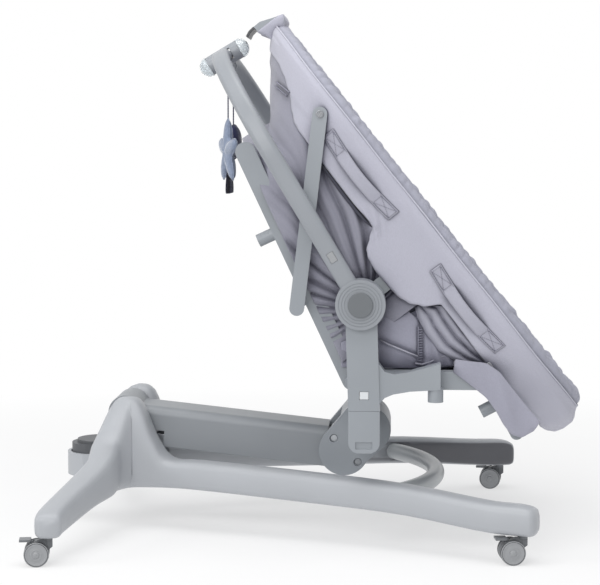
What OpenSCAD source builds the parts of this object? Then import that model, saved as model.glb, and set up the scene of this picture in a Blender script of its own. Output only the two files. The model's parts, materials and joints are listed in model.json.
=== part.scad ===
/* [Base legs] */
// Distance between the front casters' swivel axes
front_track = 626; // [560:2:700]
// Distance between the rear casters' swivel axes
rear_track = 728; // [660:2:800]
// Distance of the front swivel axes ahead of the origin
front_caster_x = 354.7; // [310:0.1:390]
// Distance of the rear swivel axes behind the origin
rear_caster_x = 424.3; // [395:0.1:450]
// Height of a leg bar
leg_h = 50; // [44:1:58]
// Width of a leg bar
leg_w = 52; // [46:1:58]
// Height of the underside of the legs over the casters
leg_clear = 47; // [45:1:56]
// Height of the top of the two humps
hump_top = 238; // [232:1:250]
// Outside diameter of the curved cross tube
cross_tube_d = 31; // [26:1:34]
// Forward bulge of the cross tube
cross_tube_bulge = 70; // [50:1:85]

/* [Casters] */
// Caster wheel diameter
wheel_d = 41; // [38:0.5:44]
// Width of one of the twin wheels
wheel_w = 11; // [8:0.5:13]
// Horizontal distance from swivel axis to axle
caster_trail = 18; // [14:0.5:22]
// Diameter of the swivel stem
stem_d = 8; // [6:0.5:10]
// Length of the stem inside the leg
stem_len = 24; // [16:1:28]

/* [Foot pedal] */
// Width of the pedal housing
pedal_w = 96; // [80:1:104]
// Length of the pedal ahead of its hinge
pedal_len = 58; // [50:1:62]
// Height of the pedal housing
pedal_housing_h = 42; // [34:1:46]

/* [Lift arm] */
// Distance between the pivots of the lift arm
arm_len = 380; // [350:1:400]
// Height of the rear pivot of the arm over the floor
arm_pivot_z = 203; // [198:1:210]
// Angle by which the arm slopes down at its lowest setting
arm_slope = 6.2; // [4:0.1:8]
// Horizontal and vertical offset between upper and lower link pivots
link_offset = 43; // [40:0.5:46]
// Width of the arm shell
arm_w = 100; // [90:1:108]
// Height of the arm shell
arm_h = 72; // [66:1:76]
// Wall of the arm shell
arm_wall = 3.5; // [2.5:0.1:4.5]
// Diameter of the four link pivot pins
pin_d = 12; // [10:0.5:14]

/* [Carrier] */
// Room between the middle of the ring's tube and the inner face of each upright
fork_room = 10; // [8:0.5:20]
// Side of the square cross beam
beam_side = 44; // [36:1:48]
// Thickness of the hub's side cheeks
cheek_t = 13; // [10:0.5:15]
// Height of the parting line between socket and upright
socket_top = 243; // [236:1:250]
// Length of a socket
socket_len = 72; // [60:1:80]

/* [Uprights] */
// Width of an upright, seen from the side
upright_w = 53; // [46:1:58]
// Thickness of an upright
upright_t = 34; // [30:0.5:38]
// Forward lean of an upright per unit of height
upright_lean = 0.033; // [0.01:0.001:0.05]
// Height of the recline axis over the floor
recline_z = 422; // [410:1:436]
// Diameter of the round joint on top of an upright
disc_d = 84; // [76:1:90]
// Diameter of the cap in the middle of the round joint
cap_d = 42; // [34:1:46]
// Diameter of the recline shaft
shaft_d = 20; // [16:1:22]
// Reach of the seat arm ahead of the upright
seat_arm_len = 101; // [90:1:104]

/* [Toy bar] */
// Distance from the recline axis to the middle of the toy bar's top
toy_bar_reach = 489; // [475:1:505]
// Angle of the toy bar over the horizontal
toy_bar_angle = 59.2; // [57:0.1:61]
// Width of the toy bar, seen from the side
toy_bar_w = 31; // [26:0.5:34]
// Thickness of the toy bar
toy_bar_t = 20; // [16:0.5:22]
// Bend radius of the toy bar's corners
toy_bar_bend = 205; // [180:1:225]
// Length of the toy holder between its two domes
console_len = 62; // [56:1:68]
// Diameter of the toy holder
console_d = 34; // [32:0.5:36]

/* [Cradle] */
// Recline of the oval ring from the horizontal
ring_angle = 51.4; // [50:0.1:53]
// Length of the oval ring, tube centre to tube centre
ring_len = 830; // [800:2:846]
// Width of the oval ring, tube centre to tube centre
ring_w = 440; // [430:1:446]
// Distance of the ring plane above the recline axis
ring_rise = 169; // [162:1:176]
// Distance of the ring's middle behind the recline axis
ring_back = 36; // [28:1:44]
// Diameter of the ring tube
ring_d = 22; // [18:1:24]
// Diameter of the padded rim cover
rim_d = 34; // [30:1:36]
// Thickness of the fabric walls
fabric_t = 4; // [3:0.5:6]
// Width of the flat side links
link_w = 25; // [20:1:28]
// Thickness of the flat side links
link_t = 4; // [3:0.5:5]

/* [Folding bottom] */
// Angle of the backrest over the horizontal
back_angle = 64.9; // [62:0.1:67]
// Length of the backrest from its hinge
back_len = 446; // [430:1:460]
// Depth of the backrest's side tubes
back_tube_w = 34; // [28:1:38]
// Height of the seat hinge axes over the floor
seat_z = 286; // [283:1:290]
// Length of the seat between its two hinge axes
seat_len = 233; // [225:1:240]
// Angle of the leg rest below the horizontal
leg_rest_angle = 62; // [55:1:66]
// Length of the leg rest from its hinge
leg_rest_len = 112; // [100:1:118]
// Thickness of the pads
pad_t = 16; // [10:1:20]
// Length of the round feet under the folding bottom
foot_len = 28; // [20:1:32]
// Diameter of the round feet
foot_d = 22; // [18:1:24]

/* [Hidden] */

$fn = 48;
fit = 0.05;          // radial clearance of a shaft in its bore
gap = 0.3;           // clearance between neighbouring solids
far = 600;           // farther than any piece reaches

plastic = [0.74, 0.75, 0.77];
plastic_dark = [0.42, 0.43, 0.45];
steel = [0.75, 0.76, 0.78];
fabric = [0.68, 0.68, 0.76];
fabric_blue = [0.5, 0.56, 0.66];
fabric_navy = [0.1, 0.11, 0.22];
clear = [0.9, 0.92, 0.94, 0.4];

// ---- places ---------------------------------------------------------------
arm_x = 82 - rear_caster_x;                       // rear pivot of the arm
a1 = [arm_x, arm_pivot_z];
a2 = a1 + [link_offset, -link_offset];
b1 = a1 + arm_len * [cos(arm_slope), -sin(arm_slope)];
b2 = b1 + [link_offset, -link_offset];
upright_x = b1[0] + 57;                          // middle of the socket
recline_x = upright_x - upright_lean * (recline_z - socket_top + 20);
d_axis = [recline_x, recline_z];
back_x = recline_x - 15;                         // hinge between seat and backrest
seat_x1 = back_x + seat_len;                     // hinge between seat and leg rest
hump_y = 82;                                     // middle of a hump
leg_inner = 55;                                  // flat inner face of the humps
yi = ring_w / 2 + fork_room;                     // inner face of an upright
y_disc = yi + upright_t - 12;                    // outer face of the upright's disc
hub_t = 23;                                      // thickness of the toy bar's end disc
caster_top = leg_clear;
wheel_r = wheel_d / 2;
wheel_in = 8;                                    // inner face of a twin wheel
rear_y = rear_track / 2;
front_y = front_track / 2;

// ---- helpers --------------------------------------------------------------
// Catmull-Rom curve through the points of list p, at t counted in points
function cr(p, i, f) =
    let (n = len(p), a = p[max(i - 1, 0)], b = p[i], c = p[min(i + 1, n - 1)], d = p[min(i + 2, n - 1)])
    0.5 * (2 * b + (c - a) * f + (2 * a - 5 * b + 4 * c - d) * f * f + (3 * b - a - 3 * c + d) * f * f * f);
function curve(p, t) = let (i = min(floor(t), len(p) - 2)) cr(p, i, t - i);
function sgn_pow(v, e) = sign(v) * pow(abs(v), e);

// Solid through rings of equal size, closed by flat caps or joined end to end
module skin(rings, closed = false) {
    n = len(rings);
    m = len(rings[0]);
    pts = [for (r = rings) for (q = r) q];
    last = closed ? n : n - 1;
    sides = [for (i = [0 : last - 1]) for (j = [0 : m - 1])
        let (i2 = (i + 1) % n, j2 = (j + 1) % m)
        each [[i * m + j, i2 * m + j2, i * m + j2], [i * m + j, i2 * m + j, i2 * m + j2]]];
    caps = closed ? [] : [[for (j = [0 : m - 1]) j], [for (j = [m - 1 : -1 : 0]) (n - 1) * m + j]];
    polyhedron(points = pts, faces = concat(sides, caps), convexity = 8);
}

// Bar of rounded-rectangle section; stations are [x, y, z_low, z_high, width]
module rounded_bar(stations, steps, sides = 20, round_e = 0.55) {
    n = len(stations) - 1;
    e = 0.02;
    rings = [for (k = [0 : steps])
        let (
            t = n * k / steps,
            s = curve(stations, t),
            q = curve(stations, min(t + e, n)) - curve(stations, max(t - e, 0)),
            len_q = norm([q[0], q[1]]),
            nx = -q[1] / len_q,
            ny = q[0] / len_q,
            d = min(k, steps - k),
            f = d == 0 ? 0.62 : d == 1 ? 0.93 : 1
        )
        [for (j = [0 : sides - 1])
            let (
                a = 360 * j / sides,
                u = f * s[4] / 2 * sgn_pow(cos(a), round_e),
                v = f * (s[3] - s[2]) / 2 * sgn_pow(sin(a), round_e)
            )
            [s[0] + nx * u, s[1] + ny * u, (s[2] + s[3]) / 2 + v]]];
    skin(rings);
}

module rrect(w, h, r) {
    square([w - 2 * r, h], center = true);
    square([w, h - 2 * r], center = true);
    for (x = [-1, 1], y = [-1, 1]) translate([x * (w / 2 - r), y * (h / 2 - r)]) circle(r);
}

// Cylinder along Y from y0 to y1 at [x, z]
module ycyl(p, r, y0, y1) {
    translate([p[0], y0, p[1]]) rotate([-90, 0, 0]) cylinder(r = r, h = y1 - y0);
}

// The same between the distances y0 and y1 from the middle plane, on side s
module side_cyl(s, p, r, y0, y1) {
    ycyl(p, r, s > 0 ? y0 : -y1, s > 0 ? y1 : -y0);
}

// Prism along Y of a 2-D outline drawn in X and Z
module yprism(y0, y1) {
    translate([0, y1, 0]) rotate([90, 0, 0]) linear_extrude(y1 - y0) children();
}

// Places children in the frame of a part that leans by ang about the point p: local x runs along it
module along(p, ang) {
    translate([p[0], 0, p[1]]) rotate([0, -ang, 0]) children();
}

// Flat bar with round ends between two points of the X-Z plane
module flat_bar(p, q, w) {
    v = q - p;
    translate(p) rotate(atan2(v[1], v[0])) {
        translate([0, -w / 2]) square([norm(v), w]);
        circle(w / 2);
        translate([norm(v), 0]) circle(w / 2);
    }
}

// ---- base -----------------------------------------------------------------
leg_mid_h = leg_clear + 22;
cross_back = 205;                                // from the front swivel axes back to the tube's ends
cross_inset = 118;                               // and in towards the middle
cross_end_x = front_caster_x - cross_back;
cross_end_y = front_y - cross_inset;
cross_plug = 44;                                 // swaged end of the tube, inside the leg
cross_plug_d = cross_tube_d - 1;
cross_ang = 2 * atan(cross_tube_bulge / cross_end_y);
cross_r = cross_end_y / sin(cross_ang);
cross_z = leg_clear + 45;

// Path of the near leg from the rear foot over the hump to the front foot
function leg_path() = [
    [-rear_caster_x + 6, -rear_y - 24, leg_clear, leg_clear + 38, leg_w - 8],
    [-rear_caster_x + 4, -rear_y + 2, leg_clear, leg_clear + 46, leg_w - 6],
    [-rear_caster_x + 18, -rear_y + 66, leg_clear + 8, leg_clear + 60, leg_w - 4],
    [-rear_caster_x + 38, -rear_y + 130, leg_mid_h - 2, leg_mid_h + 56, leg_w],
    [-rear_caster_x + 58, -rear_y + 186, leg_mid_h + 4, leg_mid_h + 80, leg_w + 2],
    [arm_x - 22, -hump_y - 46, leg_mid_h + 4, hump_top - 64, leg_w + 4],
    [arm_x - 4, -hump_y - 12, leg_mid_h + 4, hump_top - 10, leg_w + 4],
    [arm_x + 12, -hump_y, leg_mid_h + 4, hump_top, leg_w + 4],
    [arm_x + 36, -hump_y, leg_mid_h + 5, hump_top - 12, leg_w + 4],
    [arm_x + 60, -hump_y - 2, leg_mid_h + 6, hump_top - 72, leg_w + 2],
    [arm_x + 88, -hump_y - 8, leg_mid_h + 7, leg_mid_h + leg_h + 10, leg_w],
    [arm_x + 150, -hump_y - 28, leg_mid_h + 7, leg_mid_h + leg_h + 8, leg_w],
    [arm_x + 330, -hump_y - 88, leg_mid_h + 1, leg_mid_h + leg_h + 2, leg_w],
    [front_caster_x - 197, -front_y + 78, leg_clear + 17, leg_clear + leg_h + 17, leg_w],
    [front_caster_x - 60, -front_y + 17, leg_clear + 3, leg_clear + leg_h + 3, leg_w],
    [front_caster_x, -front_y, leg_clear, leg_clear + leg_h, leg_w - 2],
    [front_caster_x + 24, -front_y - 8, leg_clear, leg_clear + leg_h - 6, leg_w - 6]
];

module leg() {
    color(plastic) difference() {
        rounded_bar(leg_path(), 60);
        translate([arm_x - 100, -leg_inner, leg_clear]) cube([240, 2 * leg_inner, hump_top]);
        translate([-far, -far, 0]) cube([2 * far, far, leg_clear]);
        ycyl(a1, pin_d / 2 + fit, -hump_y - 12, 0);
        ycyl(a2, pin_d / 2 + fit, -hump_y - 12, 0);
        for (p = [[-rear_caster_x, -rear_y], [front_caster_x, -front_y]])
            translate([p[0], p[1], 0]) cylinder(r = stem_d / 2 + fit, h = leg_clear + stem_len + 1);
        translate([cross_end_x, -cross_end_y, cross_z]) rotate([0, 0, -cross_ang])
            rotate([90, 0, 0]) cylinder(r = cross_plug_d / 2 + fit, h = cross_plug + gap);
    }
}
module near_leg() { leg(); }
module far_leg() { mirror([0, 1, 0]) leg(); }

// Bridge between the two humps, below the arm
module hub_base() {
    color(plastic) difference() {
        yprism(-leg_inner, leg_inner) translate([arm_x + 14, leg_mid_h + 32]) rrect(104, 46, 10);
        translate([arm_x + 14, 0, leg_mid_h + 4]) cube([88, 2 * leg_inner - 16, 40], center = true);
    }
}

module cross_tube() {
    color(plastic) translate([0, 0, cross_z]) {
        translate([cross_end_x + cross_tube_bulge - cross_r, 0, 0]) rotate([0, 0, -cross_ang])
            rotate_extrude(angle = 2 * cross_ang) translate([cross_r, 0]) circle(d = cross_tube_d);
        for (s = [-1, 1]) translate([cross_end_x, s * cross_end_y, 0]) rotate([0, 0, s * cross_ang])
            rotate([-s * 90, 0, 0]) translate([0, 0, -2]) cylinder(d = cross_plug_d, h = cross_plug + 2);
    }
}

module arm_base_pins() {
    color(steel) for (p = [a1, a2]) ycyl(p, pin_d / 2, -hump_y - 11, hump_y + 11);
}

// ---- foot pedal -----------------------------------------------------------
pedal_x = arm_x - 50;                            // hinge of the pedal
pedal_z = leg_mid_h + 62;
pedal_front = pedal_x - pedal_len;
housing_top = pedal_z - 5;
lug_y = pedal_w / 4;                             // lugs that carry the pedal's pin

module pedal_plan(inset) {
    translate([pedal_front + pedal_w / 2 - 4 + inset, 0]) {
        intersection() {
            circle(pedal_w / 2 - inset + 2, $fn = 96);
            square([far, pedal_w - 2 * inset], center = true);
        }
        translate([0, -pedal_w / 2 + inset]) square([24 - inset, pedal_w - 2 * inset]);
    }
}

module pedal_housing() {
    color(plastic) difference() {
        translate([0, 0, housing_top - pedal_housing_h]) linear_extrude(pedal_housing_h) pedal_plan(0);
        translate([0, 0, housing_top - pedal_housing_h + 4]) linear_extrude(pedal_housing_h) pedal_plan(3);
        translate([pedal_x + 12, -pedal_w, 0]) cube([far, 2 * pedal_w, far]);
    }
    color(plastic) for (y = [-1, 1]) translate([0, y * lug_y, 0]) difference() {
        translate([pedal_x - 6, -4, housing_top - pedal_housing_h + 4])
            cube([12, 8, pedal_z + 6 - housing_top + pedal_housing_h - 4]);
        ycyl([pedal_x, pedal_z], 3 + fit, -5, 5);
    }
}

module foot_pedal() {
    color(plastic_dark) difference() {
        union() {
            translate([0, 0, housing_top - 8]) linear_extrude(24) intersection() {
                pedal_plan(4);
                translate([pedal_front - 10, -pedal_w]) square([pedal_len + 14, 2 * pedal_w]);
            }
            translate([0, 0, housing_top + 16]) linear_extrude(6) intersection() {
                pedal_plan(9);
                translate([pedal_front - 10, -pedal_w]) square([pedal_len + 10, 2 * pedal_w]);
            }
        }
        for (y = [-1, 1]) translate([pedal_x - 10, y * lug_y - 5, 0]) cube([30, 10, far]);
        ycyl([pedal_x, pedal_z], 3 + fit, -60, 60);
    }
}

module pedal_pin() {
    color(steel) ycyl([pedal_x, pedal_z], 3, -30, 30);
}

// ---- casters --------------------------------------------------------------
// Each caster is drawn around its swivel axis with the wheels trailing towards -x
yaw_rear = 9;
yaw_front = 7;
web_t = 7;

module caster_body() {
    color(plastic_dark) difference() {
        union() {
            ycyl([-caster_trail, wheel_r], wheel_r * 0.62, -web_t / 2, web_t / 2);
            yprism(-web_t / 2, web_t / 2) polygon([
                [-caster_trail - wheel_r * 0.6, wheel_r], [-caster_trail - 10, wheel_r + 16],
                [-caster_trail + 6, wheel_d + 3], [8, wheel_d + 3], [8, wheel_r + 10],
                [-caster_trail + wheel_r * 0.62, wheel_r]]);
            translate([0, 0, wheel_d + 1]) cylinder(r = stem_d / 2 + 4, h = caster_top - gap - wheel_d - 1);
            ycyl([-caster_trail - 7, wheel_r + 13], 2, -wheel_in + 0.8, wheel_in - 0.8);
        }
        ycyl([-caster_trail, wheel_r], 3 + fit, -20, 20);
    }
    color(steel) translate([0, 0, wheel_r + 12])
        cylinder(d = stem_d, h = caster_top + stem_len - wheel_r - 12);
}

module caster_wheels() {
    color(plastic_dark) {
        for (s = [-1, 1]) translate([-caster_trail, s * (wheel_in + wheel_w / 2), wheel_r])
            rotate([90, 0, 0]) difference() {
                rotate_extrude() difference() {
                    translate([0, -wheel_w / 2]) square([wheel_r, wheel_w]);
                    translate([wheel_r * 0.66, -s * wheel_w / 2 - 1]) square([wheel_r * 0.1, 2]);
                }
            }
        ycyl([-caster_trail, wheel_r], 3, -wheel_in - 1, wheel_in + 1);
    }
}

module caster_brake() {
    p = [-caster_trail - 7, wheel_r + 13];
    color(plastic) difference() {
        union() {
            translate([p[0] - 21, -wheel_in - 3, p[1] + 7]) cube([19, 2 * wheel_in + 6, 4]);
            for (s = [-1, 1]) translate([0, s * (web_t / 2 + gap + 1.6), 0]) {
                ycyl(p, 4.4, -1.6, 1.6);
                translate([p[0] - 4.4, -1.6, p[1]]) cube([6, 3.2, 9]);
            }
        }
        ycyl(p, 2 + fit, -20, 20);
    }
}

module at_caster(rear, s) {
    p = rear ? [-rear_caster_x, s * rear_y] : [front_caster_x, s * front_y];
    translate([p[0], p[1], 0]) rotate([0, 0, -s * (rear ? yaw_rear : yaw_front)]) children();
}

module caster_body_rear_right() { at_caster(true, -1) caster_body(); }
module caster_body_rear_left() { at_caster(true, 1) caster_body(); }
module caster_body_front_right() { at_caster(false, -1) caster_body(); }
module caster_body_front_left() { at_caster(false, 1) caster_body(); }
module caster_wheels_rear_right() { at_caster(true, -1) caster_wheels(); }
module caster_wheels_rear_left() { at_caster(true, 1) caster_wheels(); }
module caster_wheels_front_right() { at_caster(false, -1) caster_wheels(); }
module caster_wheels_front_left() { at_caster(false, 1) caster_wheels(); }
module caster_brake_rear_right() { at_caster(true, -1) caster_brake(); }
module caster_brake_rear_left() { at_caster(true, 1) caster_brake(); }
module caster_brake_front_right() { at_caster(false, -1) caster_brake(); }
module caster_brake_front_left() { at_caster(false, 1) caster_brake(); }

// ---- lift arm -------------------------------------------------------------
// Local frame of the arm: x runs from the rear pivot to the front one
link_r = link_offset * sqrt(2);
low_z = -link_r * sin(45 - arm_slope);           // lower link below the upper one, at rest
shell_mid = low_z / 2;
barrel_r = 31;
shell_end = arm_len - 12;

module at_arm() { along(a1, -arm_slope) children(); }

module arm_shell() {
    color(plastic) at_arm() difference() {
        union() {
            translate([20, 0, shell_mid]) rotate([90, 0, 90]) linear_extrude(shell_end - 20) {
                rrect(arm_w, arm_h, 16);
                translate([0, -arm_h / 4]) rrect(arm_w, arm_h / 2, 3);
            }
            ycyl([0, 0], barrel_r, -arm_w / 2, arm_w / 2);
        }
        translate([10, 0, shell_mid]) rotate([90, 0, 90]) linear_extrude(arm_len)
            translate([0, -arm_wall / 2 - 20])
                rrect(arm_w - 2 * arm_wall, arm_h - arm_wall + 40, 16 - arm_wall);
        ycyl([0, 0], barrel_r - arm_wall, -arm_w / 2 + 9, arm_w / 2 - 9);
        ycyl([0, 0], pin_d / 2 + fit, -arm_w, arm_w);
        translate([barrel_r - 12, -arm_w, shell_mid - arm_h])
            cube([link_r - barrel_r + 25, 2 * arm_w, arm_h - 6]);
    }
}

// Steel bar inside the shell with an eye at each end
bar_w = 76;
module link_bar(l) {
    difference() {
        union() {
            for (x = [0, l]) ycyl([x, 0], pin_d / 2 + 6, -bar_w / 2, bar_w / 2);
            translate([0, -bar_w / 2, -5]) cube([l, bar_w, 10]);
        }
        for (x = [0, l]) ycyl([x, 0], pin_d / 2 + fit, -bar_w, bar_w);
        translate([40, -bar_w / 2 + 12, -20]) cube([l - 80, bar_w - 24, 40]);
    }
}

module upper_link() { color(steel) at_arm() link_bar(arm_len); }
module lower_link() { color(steel) along(a2, -arm_slope) link_bar(arm_len); }

// ---- carrier --------------------------------------------------------------
cheek_in = arm_w / 2 + 1;
cheek_out = cheek_in + cheek_t;
hub_a = b1 + [18, -22];
hub_b = b1 + [60, 16];
hub_c = b1 + [46, 38];

module hub_outline() {
    flat_bar(hub_a, hub_b, 84);
    translate(hub_a) circle(45);
    flat_bar(hub_b, hub_c, 56);
    polygon([hub_a + 45 * [cos(146), sin(146)], hub_c + 28 * [cos(146), sin(146)], hub_c, hub_b, hub_a]);
}

module carrier_hub() {
    color(plastic) {
        for (s = [-1, 1]) difference() {
            yprism(min(s * cheek_in, s * cheek_out), max(s * cheek_in, s * cheek_out)) hub_outline();
            for (p = [b1, b2]) {
                ycyl(p, pin_d / 2 + fit, -cheek_out - 1, cheek_out + 1);
                side_cyl(s, p, pin_d / 2 + 1.5, cheek_out - 5, cheek_out + 1);
            }
        }
        yprism(-cheek_in, cheek_in) intersection() {
            hub_outline();
            union() {
                translate(b1 + [68, -60]) square([60, 130]);
                translate(b1 + [12, 30]) square([90, 60]);
            }
        }
    }
}

module carrier_pins() {
    color(steel) for (p = [b1, b2]) ycyl(p, pin_d / 2, -cheek_out + 5, cheek_out - 5);
}

beam_z = b1[1] + 40;
module carrier_beam() {
    color(plastic) for (s = [-1, 1])
        yprism(min(s * cheek_out, s * yi), max(s * cheek_out, s * yi))
            translate([upright_x, beam_z]) rrect(beam_side, beam_side, 8);
}

tongue_w = upright_w - 17;
tongue_t = upright_t - 14;
tongue_len = 34;

module socket() {
    z0 = socket_top - socket_len;
    color(plastic) difference() {
        yprism(-yi - upright_t, -yi) translate([upright_x, 0]) {
            translate([-upright_w / 2, z0 + 18]) square([upright_w, socket_len - 18 - gap]);
            translate([-upright_w / 2 + 18, z0]) square([upright_w - 36, 30]);
            for (s = [-1, 1]) translate([s * (upright_w / 2 - 18), z0 + 18]) circle(18);
        }
        translate([upright_x, -yi - upright_t / 2, socket_top])
            cube([tongue_w + 2 * gap, tongue_t + 2 * gap, 2 * tongue_len + 1], center = true);
        translate([upright_x - 14, -yi - upright_t - 1, z0 + 7]) cube([28, 4, 12]);
    }
}
module socket_right() { socket(); }
module socket_left() { mirror([0, 1, 0]) socket(); }

// ---- uprights with the seat arms ------------------------------------------
arm_end_x = upright_x + upright_w / 2 + seat_arm_len;
arm_top_z = seat_z + 37;
arm_low_z = seat_z - 7;
button_z = socket_top + 26;
latch_w = 15;
latch_h = 13;
latch_t = 8;
latch_travel = 3;

module upright() {
    xr = upright_x + upright_w / 2;
    lean = upright_lean * (recline_z - socket_top);
    color(plastic) difference() {
        union() {
            yprism(-yi - upright_t, -yi) polygon([
                [upright_x - upright_w / 2, socket_top], [xr, socket_top],
                [xr - lean, recline_z], [upright_x - upright_w / 2 - lean, recline_z]]);
            yprism(-yi - upright_t + 3, -yi) polygon([
                [upright_x, socket_top + 10], [xr - 1, socket_top + 12], [xr + 8, arm_low_z - 14],
                [xr + 22, arm_low_z - 8], [xr + 50, arm_low_z - 3], [arm_end_x, arm_low_z],
                [arm_end_x, arm_top_z], [arm_end_x - 24, arm_top_z - 7], [arm_end_x - 50, arm_top_z - 14],
                [xr + 24, arm_top_z - 18], [xr + 8, arm_top_z - 14], [xr - 4, arm_top_z + 2],
                [upright_x, arm_top_z + 20]]);
            ycyl(d_axis, disc_d / 2, -y_disc, -yi);
            translate([arm_end_x - 8, -yi - upright_t / 2, arm_low_z - 22]) cylinder(d = 26, h = 24);
            translate([upright_x, -yi - upright_t / 2, socket_top - tongue_len / 2])
                cube([tongue_w, tongue_t, tongue_len], center = true);
            ycyl([back_x, seat_z], 7, -yi - 2, -fold_in + 2);
        }
        ycyl(d_axis, disc_d / 2 + 0.6, -yi - upright_t - 1, -y_disc);
        ycyl(d_axis, shaft_d / 2 + fit, -yi - upright_t, -yi + 1);
        translate([upright_x - latch_w / 2 - 0.5, -yi - upright_t - 1, button_z - latch_h / 2 - 0.5])
            cube([latch_w + 1, latch_t + latch_travel + 2, latch_h + 1]);
    }
}
module upright_right() { upright(); }
module upright_left() { mirror([0, 1, 0]) upright(); }

module latch_button() {
    color(plastic) translate([upright_x - latch_w / 2, -yi - upright_t + 0.5, button_z - latch_h / 2])
        cube([latch_w, latch_t, latch_h]);
}
module latch_button_right() { latch_button(); }
module latch_button_left() { mirror([0, 1, 0]) latch_button(); }

// ---- seat frame between the uprights --------------------------------------
rail_out = yi - gap;
rail_in = yi - 24;
fold_out = rail_in - 6;                          // outer face of the folding side tubes
fold_in = fold_out - 22;
rail_low = -11;
rail_high = 20;

module seat_frame() {
    color(plastic) {
        for (s = [-1, 1]) {
            y0 = min(s * rail_in, s * rail_out);
            difference() {
                yprism(y0, y0 + rail_out - rail_in) {
                    translate([back_x, seat_z + rail_low]) square([seat_len, rail_high - rail_low]);
                    translate([back_x, seat_z]) circle(11);
                    translate([seat_x1, seat_z + 4]) circle(16);
                }
                ycyl([back_x, seat_z], 7 + fit, -yi, yi);
                translate([back_x - 20, y0 - 1, seat_z + 8.5]) cube([60, rail_out - rail_in + 2, 30]);
            }
            side_cyl(s, [seat_x1, seat_z], 6, fold_in - 2, rail_in + 1);
        }
        for (x = [back_x + 48, seat_x1 - 46]) ycyl([x, seat_z + 2], 9, -rail_in - 1, rail_in + 1);
        translate([back_x + 40, -fold_in + 12, seat_z + 9]) cube([seat_len - 80, 2 * fold_in - 24, 4]);
    }
}

module pad(x0, x1, w, t, r) {
    translate([(x0 + x1) / 2, 0, t / 2]) linear_extrude(t, center = true) rrect(x1 - x0, w, r);
}

pad_w = 2 * fold_in - 16;
module seat_pad() {
    color(fabric) translate([0, 0, seat_z + 13 + gap]) pad(back_x + 34, seat_x1 - 30, pad_w, pad_t, 20);
}

// ---- recline shafts -------------------------------------------------------
bracket_in = ring_w / 2 - 17;
bracket_out = bracket_in + 12;
hub_out = y_disc + gap + hub_t;

module recline_shaft() {
    color(steel) ycyl(d_axis, shaft_d / 2, -hub_out - 0.4, -bracket_in);
    color(plastic_dark) ycyl(d_axis, cap_d / 2, -hub_out - 4.5, -hub_out - gap);
}
module recline_shaft_right() { recline_shaft(); }
module recline_shaft_left() { mirror([0, 1, 0]) recline_shaft(); }

// ---- oval ring ------------------------------------------------------------
// Local frame of the ring: x runs towards the foot end, z out of the open side
ring_cx = -ring_back;
ring_end_r = ring_w / 2;
ring_straight = ring_len / 2 - ring_end_r;
rivet_x = -290;
rivet_z = ring_rise - 26;
rivet_run = abs(rivet_x - ring_cx) - ring_straight;
rivet_y = sqrt(pow(ring_end_r, 2) - pow(rivet_run, 2)) - ring_d / 2 + 2.1;

module at_ring() { along(d_axis, -ring_angle) children(); }

module oval_tube(r) {
    for (s = [0, 180]) translate([ring_cx, 0, ring_rise]) rotate([0, 0, s]) {
        translate([ring_straight, 0, 0]) rotate([0, 0, -90]) rotate_extrude(angle = 180, $fn = 96)
            translate([ring_end_r, 0]) circle(r, $fn = 36);
        translate([-ring_straight, ring_end_r, 0]) rotate([0, 90, 0])
            cylinder(r = r, h = 2 * ring_straight, $fn = 36);
    }
}

module top_ring() {
    color(plastic) at_ring() difference() {
        union() {
            oval_tube(ring_d / 2);
            for (s = [-1, 1]) {
                y0 = min(s * bracket_in, s * bracket_out);
                yprism(y0, y0 + bracket_out - bracket_in) flat_bar([0, 0], [0, ring_rise - 16], 28);
                side_cyl(s, [0, 0], 24, bracket_in, yi - gap);
                yprism(s > 0 ? rivet_y - 8 : -rivet_y, s > 0 ? rivet_y : -rivet_y + 8)
                    flat_bar([rivet_x, rivet_z], [rivet_x, ring_rise - 12], 20);
            }
        }
        ycyl([0, 0], shaft_d / 2 + fit, -yi, yi);
        ycyl([rivet_x, rivet_z], 4 + fit, -yi, yi);
    }
}

head_x = ring_cx - ring_len / 2;
head_w = 116;

module rim_cover() {
    color(fabric) at_ring() difference() {
        oval_tube(rim_d / 2);
        oval_tube(ring_d / 2 + gap);
        for (s = [-1, 1], x = [0, rivet_x])
            translate([x - 15, s > 0 ? 0 : -yi, 0]) cube([30, yi - (x == 0 ? 13 : 16), ring_rise]);
        translate([head_x - 40, -head_w / 2 - 1, 0]) cube([80, head_w + 2, 400]);
    }
}

// Lower edge of the fabric wall as a height over the ring frame's x axis
skirt_low = [
    [-470, 30], [-345, 10], [-240, 40], [-110, 92], [-40, 54], [40, 54], [90, 108], [260, 108], [400, 90]
];
skirt_top = ring_rise - rim_d / 2 - gap;
function skirt_edge(x) = lookup(x, skirt_low);

// Point of a stadium outline of half length hx and half width hy, for angle a
function stadium(a, hx, hy) =
    let (c = abs(cos(a)), c0 = 0.45, k = max((c - c0) / (1 - c0), 0))
    [sign(cos(a)) * (k > 0 ? hx - hy + hy * k : (hx - hy) * c / c0), sign(sin(a)) * hy * sqrt(1 - k * k)];

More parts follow.
